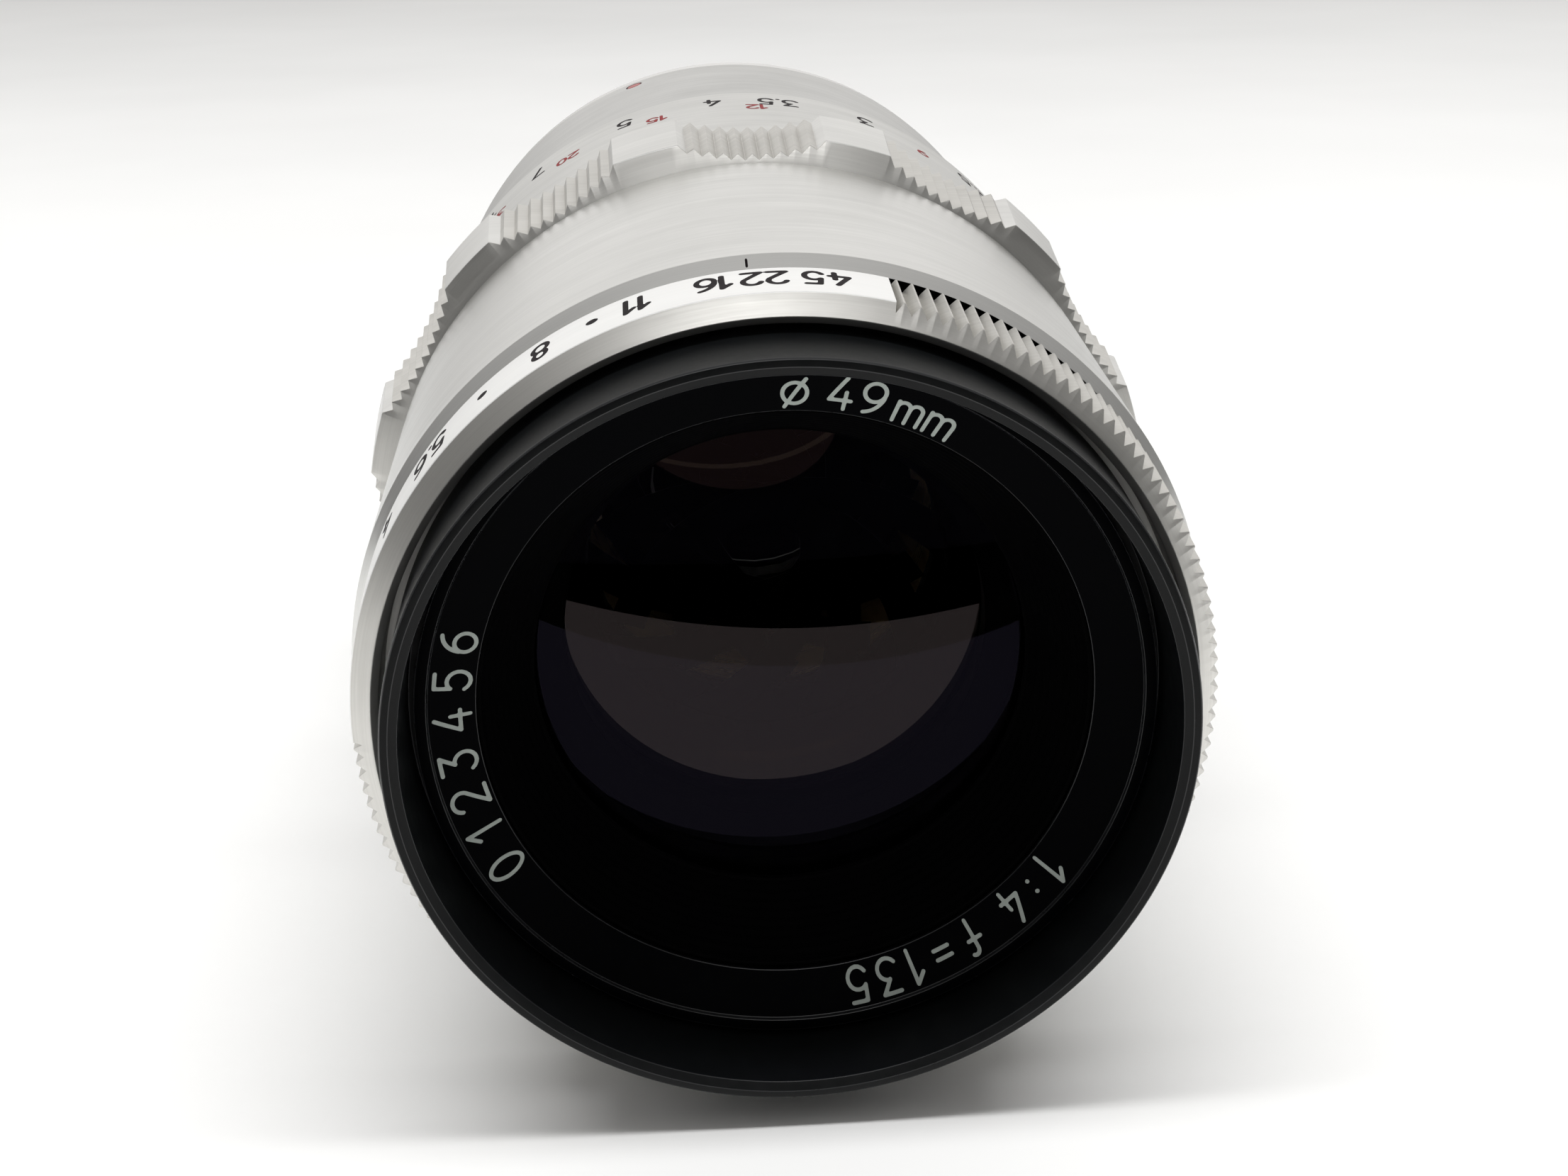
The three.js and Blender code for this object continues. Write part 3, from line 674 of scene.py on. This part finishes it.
NAME_MARKS = [(digit, 2.25, 1.15, angle) for digit, angle in zip(
    "0123456", (-119.3, -111.9, -104.7, -97.4, -89.4, -81.9, -74.6))]
NAME_MARKS += [(mark, 2.25, 1.1, angle) for mark, angle in (
    ("1", 125.6), (":", 130.8), ("4", 135.8), ("f", 145.4), ("=", 151.6), ("1", 157.0),
    ("3", 162.4), ("5", 168.1), ("o", 2.0), ("4", 9.6), ("9", 15.0), ("mm", 24.2))]
lettering("name_ring_numbers", NAME_MARKS, 0.26, dial(name_station, NAME_LINE_R), pale_paint,
          "lens_head")

BAFFLE_REAR_R = 16.6
BAFFLE_FRONT_R = 19.7
BAFFLE_INNER = 13.5  # station where its cone ends
BAFFLE_REAR = 13.9
BAFFLE_DEPTH = 5.9
GROOVES = 9
baffle = [[BAFFLE_REAR_R, BAFFLE_INNER]]
for k in range(GROOVES):
    share = (k + 0.5) / GROOVES
    r = BAFFLE_REAR_R + (BAFFLE_FRONT_R - BAFFLE_REAR_R) * share
    station = BAFFLE_INNER - BAFFLE_DEPTH * share
    baffle += [[r, station + 0.22], [r + 0.12, station - 0.12]]
baffle += [[19.75, 7.5], [NAME_INNER_R, 7.5], [NAME_INNER_R, BAFFLE_REAR],
           [BAFFLE_REAR_R, BAFFLE_REAR]]
piece("front_retaining_ring_fine", spun(eased(baffle, 0.03, 1)), flat_black, "lens_head",
      ["front_retaining_ring"])

piece("doublet_retaining_ring_fine", spun(eased([
    [14.5, 20.6], [17.1, 20.6], [17.1, 23.0], [14.5, 23.0]], 0.08)), flat_black, "lens_head",
    ["doublet_retaining_ring"])

# ---------- glass ----------


def element(radius, front_edge, front_sag, rear_edge, rear_sag):
    """A glass element; a sag is positive where its face bulges forward."""
    share = np.linspace(0, 1, 25)

    def face(edge, sag):
        if not sag:
            return [[radius * t, edge] for t in share]
        ball = (radius ** 2 + sag ** 2) / (2 * abs(sag))
        fall = ball - np.sqrt(ball ** 2 - (radius * share) ** 2)
        return [[radius * t, edge - sag + math.copysign(f, sag)] for t, f in zip(share, fall)]

    return turned(face(front_edge, front_sag) + face(rear_edge, rear_sag)[::-1], 128)


for name, form, front_coating, rear_coating in (
        ("front_lens", (19.8, 14.7, 1.05, 17.2, 0.4), violet_glass, clear_glass),
        ("doublet_front_lens", (17.1, 23.6, -0.67, 27.0, -0.8), amber_glass, clear_glass),
        ("doublet_rear_lens", (17.1, 27.2, -0.8, 33.8, 2.6), clear_glass, clear_glass),
        ("rear_lens", (12.5, 62.4, 1.4, 66.6, -0.9), clear_glass, violet_glass)):
    glass = piece(name + "_fine", element(*form), front_coating, "lens_head",
                  [name])
    refinish(glass, rear_coating, lambda r, station, angle, along: along >= -0.2)

# ---------- aperture ring ----------


def aperture_outline(r):
    """The aperture ring's outline where its outside is cut down to radius r."""
    slope = (min(r, BAND_FRONT_R) - CONE_FRONT_R) / (BAND_FRONT_R - CONE_FRONT_R)
    cone_end = CONE_FRONT + slope * (BAND_FRONT - CONE_FRONT)
    return eased([
        [26.0, 5.4], [CONE_FRONT_R, CONE_FRONT], [min(r, BAND_FRONT_R), cone_end],
        [min(r, BAND_REAR_R), BAND_REAR], [26.6, BAND_REAR], [26.2, 10.5], [22.85, 10.5],
        [22.85, 8.8], [26.0, 8.8]], 0.07)


angles, outlines = [], []
for angle in np.arange(NUMBER_SECTOR[0], NUMBER_SECTOR[1] + 0.01, 1.0):
    angles.append(angle)
    outlines.append(aperture_outline(BAND_REAR_R))
angles[-1] = NUMBER_SECTOR[1]
knurled = 360 - (NUMBER_SECTOR[1] - NUMBER_SECTOR[0])
teeth = round(knurled / KNURL_PITCH)
for tooth in range(teeth):
    for share, r in ((0.06, VALLEY_R), (0.44, BAND_REAR_R - 0.03), (0.56, BAND_REAR_R - 0.03)):
        angles.append(NUMBER_SECTOR[1] + knurled * (tooth + share) / teeth)
        outlines.append(aperture_outline(r))
angles.append(NUMBER_SECTOR[1] + knurled - 0.12)
outlines.append(aperture_outline(VALLEY_R))
aperture_ring = piece("aperture_ring_fine", woven(outlines, angles), knurl_metal, "aperture_group",
                      ["aperture_ring"])
refinish(aperture_ring, band_metal, lambda r, station, angle, along:
         r > BAND_FRONT_R - 0.1 and NUMBER_SECTOR[0] < angle < NUMBER_SECTOR[1])

APERTURE_MARKS = [(text, 2.45, 0.88, 8.65, angle) for text, angle in (
    ("4", -62.6), ("5.6", -51.3), ("8", -31.5), ("11", -17.9), ("16", -8.1), ("22", -1.7),
    ("45", 6.1))]
band_drum = drum(lambda s: BAND_FRONT_R + (BAND_REAR_R - BAND_FRONT_R) * (
    s - BAND_FRONT) / (BAND_REAR - BAND_FRONT))
lettering("aperture_numbers", APERTURE_MARKS, 0.37, band_drum, black_paint, "aperture_group")
lettering("aperture_dots", [(["dot"], 1.0, 1.0, 8.8, angle) for angle in (-40.9, -24.0)], 0.8,
          band_drum, black_paint, "aperture_group")

# ---------- front barrel and guide tube ----------

barrel = piece("front_barrel_fine", spun(eased([
    [23.2, 11.2], [26.6, 11.2], [26.6, 12.6], [27.75, 12.6], [27.75, 11.62],
    [BARREL_R, BARREL_SHOULDER], [BARREL_R, BARREL_REAR], [26.9, BARREL_REAR], [26.9, 14.8],
    [23.2, 14.8]], 0.06), RIM_FACETS), satin, "lens_head", ["front_barrel"])
# The groove behind the aperture ring is painted flat black: painted shade in the recess.
refinish(barrel, flat_black, lambda r, station, angle, along: station < 12.7 and r < 27.72)
lettering("aperture_index", [("|", 0.35, 1.0, 12.0, -3.6)], 0.16,
          drum(lambda s: 27.3 + (s - 11.1) * 1.2 / 1.4), black_paint, "lens_head")

guide = piece("guide_tube_fine", spun(eased([
    [23.6, 15.1], [26.7, 15.1], [26.7, 18.0], [25.1, 18.0], [25.1, 64.0], [23.6, 64.0],
    [23.6, 44.0], [21.8, 44.0], [21.8, 41.0], [23.6, 41.0]], 0.1)),
    satin, "lens_head", ["guide_tube"])
carve(guide, merged(*[brick(3.3, 23.0, 26.5, 39.3, 66.0, angle) for angle in KEY_ANGLES]))

# ---------- focus ring ----------


def grip_outline(front_r, rear_r):
    """The grip's outline at an angle where its outside runs between two radii."""
    start = GRIP_FRONT + (front_r - GRIP_FACE_R) / (LAND_FRONT_R - GRIP_FACE_R) * GRIP_LEAN
    return eased([
        [25.4, GRIP_FRONT], [GRIP_FACE_R, GRIP_FRONT], [front_r, start], [rear_r, GRIP_REAR],
        [28.45, GRIP_REAR], [28.45, 42.3], [25.4, 42.3]], 0.06)


angles, outlines = [], []
for flute in range(FLUTES):
    middle = flute * 360 / FLUTES
    for step in range(2 * FLUTE_TEETH + 1):
        across = step / FLUTE_TEETH - 1
        r = FLUTE_FLOOR_R + (FLUTE_EDGE_R - FLUTE_FLOOR_R) * across ** 2
        if step in (0, 2 * FLUTE_TEETH):
            r = LAND_FRONT_R - 0.02
        elif step % 2 == 0:
            r += TOOTH_HEIGHT
        for side in (-0.04, 0.04) if 0 < step < 2 * FLUTE_TEETH else (0.0,):
            angles.append(middle + (across + side / FLUTE_TEETH) * FLUTE_SPAN / 2)
            outlines.append(grip_outline(r, r + LAND_REAR_R - LAND_FRONT_R))
    land = 360 / FLUTES - FLUTE_SPAN
    for share in np.linspace(0.01, 0.99, 11):
        angles.append(middle + FLUTE_SPAN / 2 + land * share)
        outlines.append(grip_outline(LAND_FRONT_R, LAND_REAR_R))
focus = piece("focus_ring_fine", woven(outlines, angles), knurl_metal, "focus_group",
              ["focus_ring"])
refinish(focus, satin, lambda r, station, angle, along: r > LAND_FRONT_R - 0.1)

# ---------- distance scale ----------

sleeve = piece("distance_scale_fine", spun(eased([
    [27.55, 42.5], [28.3, 42.5], [28.3, SLEEVE_FRONT], [SLEEVE_R, SLEEVE_FRONT],
    [SLEEVE_R, SLEEVE_REAR], [27.55, SLEEVE_REAR]], 0.12), RIM_FACETS),
    scale_satin, "focus_group", ["distance_scale_sleeve"])
carve(sleeve, merged(*[rod(1.05, 27.0, 30.0, 56.2, angle) for angle in SERVICE_ANGLES]))

LEAD_STEP = 14.4  # degrees for each millimetre of extension
FOCAL_LENGTH = 135.0


def distance_angle(metres):
    """Where the mark of a distance stands on the sleeve while the ring is at infinity."""
    reach = metres * 1000 - 2 * FOCAL_LENGTH
    travel = (reach - math.sqrt(reach ** 2 - 4 * FOCAL_LENGTH ** 2)) / 2
    return INFINITY_ANGLE + LEAD_STEP * travel


METRES = ("20", "10", "7", "5", "4", "3.5", "3", "2.5", "2", "1.8", "1.6", "1.4", "1.3", "1.2")
FEET = ("60", "40", "30", "20", "15", "12", "9", "8", "7", "6", "5", "4.5", "4")
FOOT = 0.3048
sleeve_drum = drum(lambda s: SLEEVE_R + 0 * s)
metre_marks = [(text, 2.5, 0.86, 62.3, distance_angle(float(text))) for text in METRES]
metre_marks.append((["8 lying"], 2.5, 0.9, 62.2, INFINITY_ANGLE))
lettering("distance_numbers_metres", metre_marks, 0.33, sleeve_drum, black_paint, "focus_group")
foot_marks = [(text, 1.7, 0.95, 59.8, distance_angle(float(text) * FOOT)) for text in FEET]
lettering("distance_numbers_feet", foot_marks, 0.28, sleeve_drum, red_paint, "focus_group")

# ---------- rear barrel, mount and screws ----------

DOT, DOT_ANGLE = 87.0, -18.7
rear = piece("rear_barrel_fine", spun(eased([
    [25.4, 43.0], [REAR_R, 43.0], [REAR_R, 55.0], [26.4, 55.0], [26.4, 57.4], [REAR_R, 57.4],
    [REAR_R, 88.5], [21.0, 88.5], [21.0, 84.5], [25.4, 84.5]], 0.1), RIM_FACETS),
    rear_satin, "rear_body", ["rear_barrel"])
carve(rear, merged(
    *[rod(1.2, 26.5, 28.0, 68.0, angle) for angle in SERVICE_ANGLES],
    rod(0.8, 26.6, 28.0, DOT, DOT_ANGLE)))
rear_drum = drum(lambda s: REAR_R + 0 * s)
lettering("focusing_index", [("|", 3.0, 1.0, 68.6, INFINITY_ANGLE)], 0.3, rear_drum, black_paint,
          "rear_body")
piece("mount_index_dot_fine", rod(0.65, 26.75, REAR_R, DOT, DOT_ANGLE, 32, 0.12), enamel,
      "rear_body", ["mount_index_dot"])

LUG_INNER_R, LUG_R = 21.6, 24.0
LUG_FRONT, LUG_REAR = 93.2, 94.8
LUG_HALF = 25  # degrees
mount_ring = piece("mount_ring_fine", spun(eased([
    [20.0, 88.8], [MOUNT_R, 88.8], [MOUNT_R, FLANGE], [THROAT_R, FLANGE], [THROAT_R, LENGTH],
    [20.0, LENGTH]], 0.1), RIM_FACETS), chrome, "rear_body", ["mount_ring"])
MOUNT_SCREW_ANGLES = (45, 135, 225, 315)
MOUNT_SCREW_R = 24.6


def set_back(shape, r, angle):
    """A shape turned about its own axis, moved out to radius r at an angle."""
    return shape[0] + r * bearings(angle)[0] * MM, shape[1]


carve(mount_ring, merged(*[set_back(turned([
    [0, 88.0], [1.3, 88.0], [1.3, 90.0], [2.05, 90.0], [2.05, 92.0], [0, 92.0]], 40), MOUNT_SCREW_R,
    angle) for angle in MOUNT_SCREW_ANGLES]))
lug_parts = []
for centre in (0, 120, 240):
    turn = np.linspace(centre - LUG_HALF, centre + LUG_HALF, 41)
    section = eased([[LUG_INNER_R, LUG_FRONT], [LUG_R, LUG_FRONT], [LUG_R, LUG_REAR],
                     [LUG_INNER_R, LUG_REAR]], 0.12)
    points = spots(section[None, :, 0], section[None, :, 1], turn[:, None]).reshape(-1, 3)
    count = len(section)
    faces = [(i * count + j, i * count + (j + 1) % count, (i + 1) * count + (j + 1) % count,
              (i + 1) * count + j) for i in range(len(turn) - 1) for j in range(count)]
    faces.append(tuple(range(count)))
    faces.append(tuple(reversed(range((len(turn) - 1) * count, len(turn) * count))))
    lug_parts.append((points, faces))
piece("bayonet_lugs_fine", merged(*lug_parts), chrome, "rear_body")
for k, angle in enumerate(MOUNT_SCREW_ANGLES):
    screw = piece(f"mount_screw_{k + 1}_fine", set_back(turned(eased([
        [0, 86.0], [1.0, 86.0], [1.0, 90.2], [1.9, 90.2], [1.9, 90.9], [0, 90.9]], 0.15,
        closed=False), 40), MOUNT_SCREW_R, angle), steel, "rear_body",
        [f"mount_screw_{k + 1}"])
    carve(screw, brick(0.42, 22.4, 26.8, 90.5, 91.5, angle))
for k, angle in enumerate(SERVICE_ANGLES):
    for name, low, high, station, r, body in (
            ("helicoid_set_screw", 24.0, 27.1, 68.0, 0.9, "rear_body"),
            ("focus_guide_screw", 26.6, 28.6, 56.2, 0.9, "focus_group")):
        screw = piece(f"{name}_{k + 1}_fine", rod(r, low, high, station, angle, 32, 0.1), steel,
                      body, [f"{name}_{k + 1}"])
        carve(screw, brick(2.4, high - 0.35, high + 0.5, station - 0.14, station + 0.14, angle))
piece("rear_baffle_fine", spun(eased([
    [18.2, 79.0], [19.6, 79.0], [19.6, 95.2], [16.2, 95.2], [16.2, 94.2], [18.2, 92.2]], 0.1)),
    flat_black, "rear_body", ["rear_baffle"])

# ---------- iris blades ----------

BLADE_R = 17.0
BLADE_INNER_R = 14.2
BLADE_TIP = 125  # degrees from the pivot
EAR_R = 1.2
BLADE_FRONT = 37.3  # station of the first blade
BLADE_PITCH = 0.29
BLADE_THICK = 0.12
BLADE_CLOSED = 36.2  # degrees of swing
PIN_R = 0.45
PIN_REAR = 41.3


def even(points, count):
    """The same path as count points at equal steps."""
    points = np.array(points)
    run = np.concatenate([[0], np.cumsum(np.linalg.norm(np.diff(points, axis=0), axis=1))])
    at = np.linspace(0, run[-1], count)
    return np.stack([np.interp(at, run, points[:, k]) for k in (0, 1)], axis=-1)


def sickle():
    """The two long edges of an open blade with its pivot on +X, each from the tip to the ear."""
    outer = (arc(0, 0, BLADE_R, BLADE_R, BLADE_TIP, 6, 40)
             + arc(PIVOT_R, 0, EAR_R, EAR_R, 80, -10, 8))
    inner = (arc(0, 0, BLADE_INNER_R, BLADE_INNER_R, BLADE_TIP, -6, 40)
             + arc(PIVOT_R, 0, EAR_R, EAR_R, -100, -11, 8))
    return even(outer, 72), even(inner, 72)


def rotated(flat, degrees):
    """Flat points turned from +X towards +Z."""
    turn = math.radians(degrees)
    return flat @ np.array([[math.cos(turn), math.sin(turn)], [-math.sin(turn), math.cos(turn)]])


for k in range(BLADES):
    front = BLADE_FRONT + BLADE_PITCH * k
    bearing = -360 / BLADES * k
    edges = [rotated(rotated(edge - [PIVOT_R, 0], BLADE_CLOSED) + [PIVOT_R, 0], bearing)
             for edge in sickle()]
    outline = np.stack([np.concatenate([edge, edge]) for edge in edges])
    count = len(edges[0])
    stations = np.repeat([front, front + BLADE_THICK], count)
    points = np.concatenate([np.stack([
        edge[:, 0], FRONT + stations, AXIS + edge[:, 1]], axis=-1) * MM for edge in outline])
    faces = []
    for j in range(count - 1):
        for one, two in ((0, 2), (3, 1), (1, 0), (2, 3)):
            faces.append((one * count + j, one * count + j + 1, two * count + j + 1,
                          two * count + j))
    faces.append((0, count, 3 * count, 2 * count))
    faces.append((count - 1, 3 * count - 1, 4 * count - 1, 2 * count - 1))
    turn = math.radians(bearing)
    rear_face = front + BLADE_THICK
    pin = turned([[0, rear_face], [PIN_R, rear_face], [PIN_R, PIN_REAR], [0, PIN_REAR]], 24,
                 (PIVOT_R * math.cos(turn), PIVOT_R * math.sin(turn)))
    piece(f"iris_blade_{k + 1:02d}_fine", merged((points, faces), pin), blade_steel,
          f"iris_blade_{k + 1:02d}", [f"iris_blade_{k + 1:02d}"], weighted=False)

# ---------- floor, light and camera ----------

# The lens rests tipped forward, on the grip's lands and the lower front edge of the barrel.
REST_REAR = (GRIP_REAR + FRONT, AXIS - GRIP_DROP)
REST_FRONT = (BARREL_SHOULDER + FRONT, AXIS - BARREL_R)
tilt = math.atan2(REST_REAR[1] - REST_FRONT[1], REST_REAR[0] - REST_FRONT[0])
FLOOR_HALF = 3.0
mesh = bpy.data.meshes.new("floor")
mesh.from_pydata([(-FLOOR_HALF, -FLOOR_HALF, 0), (FLOOR_HALF, -FLOOR_HALF, 0),
                  (FLOOR_HALF, FLOOR_HALF, 0), (-FLOOR_HALF, FLOOR_HALF, 0)], [], [(0, 1, 2, 3)])
floor = linked("floor", mesh)
floor.location = (0, REST_REAR[0] * MM, REST_REAR[1] * MM)
floor.rotation_euler = (tilt, 0, 0)
paper, tree, shader = blank("paper")
spot = node(tree, "ShaderNodeTexCoord").outputs["Object"]
tree.links.new(tinted(tree, spread(tree, noise(tree, spot, 8.0, 3.0), 0, 1),
                      (0.86, 0.86, 0.855), (0.9, 0.9, 0.895)), shader.inputs["Base Color"])
shader.inputs["Roughness"].default_value = 0.6
shader.inputs["Specular IOR Level"].default_value = 0.0

# Rays that come from the glass see a dim floor that ends in a curve ahead of the lens, and nothing
# past it but a warm patch with a thin bright arc: painted reflections that glow only for those
# rays.
# A real coating takes that light away in the glass. Here the floor gives less instead, which keeps
# the reflections free of grain.
GLASS_FLOOR = [0.09 * c for c in (1.0, 0.99, 0.98)]
LENS_EDGE = -0.045  # the floor under the lens and behind it stays dark in the glass
FRONT_END, FRONT_BEND, FRONT_SHIFT = -0.0870, 9.1, 0.0094  # seen in the front element
SECOND_END, SECOND_BEND, SECOND_SHIFT = -0.0816, 32.0, 0.0036  # seen in the second element
PATCH, PATCH_R, PATCH_COLOUR = (0.0023, -0.0954, 0.0), 0.0042, (0.021, 0.0145, 0.0135)
ARC, ARC_R, ARC_COLOUR = (0.0016, -0.0992, 0.0), 0.0068, (0.06, 0.049, 0.039)
ARC_HALF = 0.00011  # half the arc's width
GLASS_DEPTH = 4.5  # the floor is lost to rays that have crossed more glass than this
rays = node(tree, "ShaderNodeLightPath")
place = node(tree, "ShaderNodeSeparateXYZ", {0: spot})
through = rays.outputs["Is Transmission Ray"]
shallow = math_node(tree, "LESS_THAN", rays.outputs["Transmission Depth"], GLASS_DEPTH)
end = spread(tree, through, FRONT_END, SECOND_END, 0.0, 1.0)
bend = spread(tree, through, FRONT_BEND, SECOND_BEND, 0.0, 1.0)
shift = spread(tree, through, FRONT_SHIFT, SECOND_SHIFT, 0.0, 1.0)
sideways = math_node(tree, "SUBTRACT", place.outputs["X"], shift)
line = math_node(tree, "SUBTRACT", end, math_node(
    tree, "MULTIPLY", bend, math_node(tree, "MULTIPLY", sideways, sideways)))
near = math_node(tree, "MULTIPLY", math_node(tree, "GREATER_THAN", place.outputs["Y"], line),
                 math_node(tree, "LESS_THAN", place.outputs["Y"], LENS_EDGE))


def away(centre):
    """How far a point of the floor is from another."""
    return node(tree, "ShaderNodeVectorMath", {0: spot, 1: centre},
                operation="DISTANCE").outputs["Value"]


# The warm patch and the bright arc are painted reflections, glowing only for rays from the glass.
patch = math_node(tree, "MULTIPLY", through, math_node(tree, "LESS_THAN", away(PATCH), PATCH_R))
on_arc = math_node(tree, "LESS_THAN", math_node(
    tree, "ABSOLUTE", math_node(tree, "SUBTRACT", away(ARC), ARC_R)), ARC_HALF)
painted_glass_reflection = tinted(tree, patch, tinted(tree, near, (0, 0, 0), GLASS_FLOOR),
                 tinted(tree, on_arc, PATCH_COLOUR, ARC_COLOUR))
seen = node(tree, "ShaderNodeEmission", {"Color": painted_glass_reflection, "Strength": shallow})
either = node(tree, "ShaderNodeMixShader", {
    0: rays.outputs["Is Singular Ray"], 1: shader.outputs[0], 2: seen.outputs[0]})
tree.links.new(either.outputs[0], tree.nodes["Material Output"].inputs["Surface"])
mesh.materials.append(paper)

# A dark bent card that only reflections see, where the room in front of the table is dark.
CARD_Y = -0.130
CARD_BOTTOM, CARD_TOP = -0.02, 0.065
CARD_HALF = 0.24
card_points, card_faces = [], []
for k in range(25):
    x = -CARD_HALF + 0.02 * k
    y = CARD_Y - 0.5 * x * x
    card_points += [(x, y, CARD_BOTTOM), (x, y, CARD_TOP)]
    if k:
        card_faces.append((2 * k - 2, 2 * k, 2 * k + 1, 2 * k - 1))
mesh = bpy.data.meshes.new("dark_card")
mesh.from_pydata(card_points, [], card_faces)
card = linked("dark_card", mesh)
dark, tree, shader = blank("dark_card")
shader.inputs["Base Color"].default_value = (0.002, 0.002, 0.002, 1)
shader.inputs["Roughness"].default_value = 1.0
mesh.materials.append(dark)
card.visible_camera = False
card.visible_diffuse = False
card.visible_shadow = False

world = bpy.data.worlds.new("World")
bpy.context.scene.world = world
world.use_nodes = True
tree = world.node_tree
tree.nodes.clear()
facing = node(tree, "ShaderNodeSeparateXYZ", {
    0: node(tree, "ShaderNodeTexCoord").outputs["Generated"]})
# Both the room and the wall behind the lens grow brighter upwards; ahead, the camera stands dark.
room = spread(tree, facing.outputs["Z"], 0.15, 0.52, 0.0, 0.95)
wall = spread(tree, facing.outputs["Z"], 0.56, 1.5, 0.0, 0.28)
behind = spread(tree, facing.outputs["Y"], 0.0, 1.0, 0.25, 0.85)
ahead = math_node(tree, "MULTIPLY", spread(tree, facing.outputs["Y"], 1.0, 0.0, -0.85, -0.55),
                  spread(tree, facing.outputs["Z"], 1.0, 0.0, 0.25, 0.55))
level = math_node(tree, "ADD",
                  math_node(tree, "MULTIPLY", room, math_node(tree, "SUBTRACT", 1.0, behind)),
                  math_node(tree, "MULTIPLY", wall, behind))
level = math_node(tree, "MULTIPLY", level, math_node(
    tree, "SUBTRACT", 1.0, math_node(tree, "MULTIPLY", ahead, 0.97)))
rays = node(tree, "ShaderNodeLightPath")
fill = spread(tree, rays.outputs["Is Diffuse Ray"], 1.0, 0.8, 0.0, 1.0)
outside_glass = math_node(tree, "MULTIPLY", fill, math_node(
    tree, "SUBTRACT", 1.0, rays.outputs["Is Singular Ray"]))
background = node(tree, "ShaderNodeBackground", {
    "Color": tinted(tree, level, (0, 0, 0), (1.0, 0.985, 0.965)), "Strength": outside_glass})
output = node(tree, "ShaderNodeOutputWorld")
tree.links.new(background.outputs[0], output.inputs["Surface"])


def area_light(name, place, target, size, power):
    """A rectangular light that shines at a point. Its size is in metres and its power in watts."""
    data = bpy.data.lights.new(name, "AREA")
    data.shape = "RECTANGLE"
    data.size, data.size_y = size
    data.energy = power
    made = linked(name, data)
    made.location = place
    made.rotation_mode = "QUATERNION"
    made.rotation_quaternion = (Vector(target) - Vector(place)).to_track_quat("-Z", "Y")
    return made


overhead = area_light("overhead", (0.0, -0.08, 1.1), (0, -0.02, 0), (1.5, 0.2), 13.0)
overhead.visible_glossy = False
overhead.visible_transmission = False
front_lamp = area_light("front_lamp", (-0.01, -0.45, 0.36), (0, 0, 0.04), (0.30, 0.34), 0.62)
front_lamp.visible_diffuse = False
front_lamp.visible_transmission = False

# The camera stands 121 mm ahead of the front rim and 62 mm above the axis, and looks down on it.
CAMERA_PLACE = (-7.27 * MM, (FRONT - 120.72) * MM, (AXIS + 62.41) * MM)
CAMERA_RIGHT = (0.99784, -0.06344, -0.01742)
CAMERA_FORWARD = (0.05165, 0.91943, -0.38984)
camera_data = bpy.data.cameras.new("Camera")
camera_data.lens = 50.45
camera_data.sensor_width = 36.0
camera_data.clip_start = 0.01
camera_data.clip_end = 20.0
camera = linked("Camera", camera_data)
forward = Vector(CAMERA_FORWARD).normalized()
up = Vector(CAMERA_RIGHT).normalized().cross(forward).normalized()
right = forward.cross(up).normalized()
turn = Matrix((right, up, -forward)).transposed().to_4x4()
camera.matrix_world = Matrix.Translation(CAMERA_PLACE) @ turn
bpy.context.scene.camera = camera
bpy.context.scene.view_settings.view_transform = "Standard"
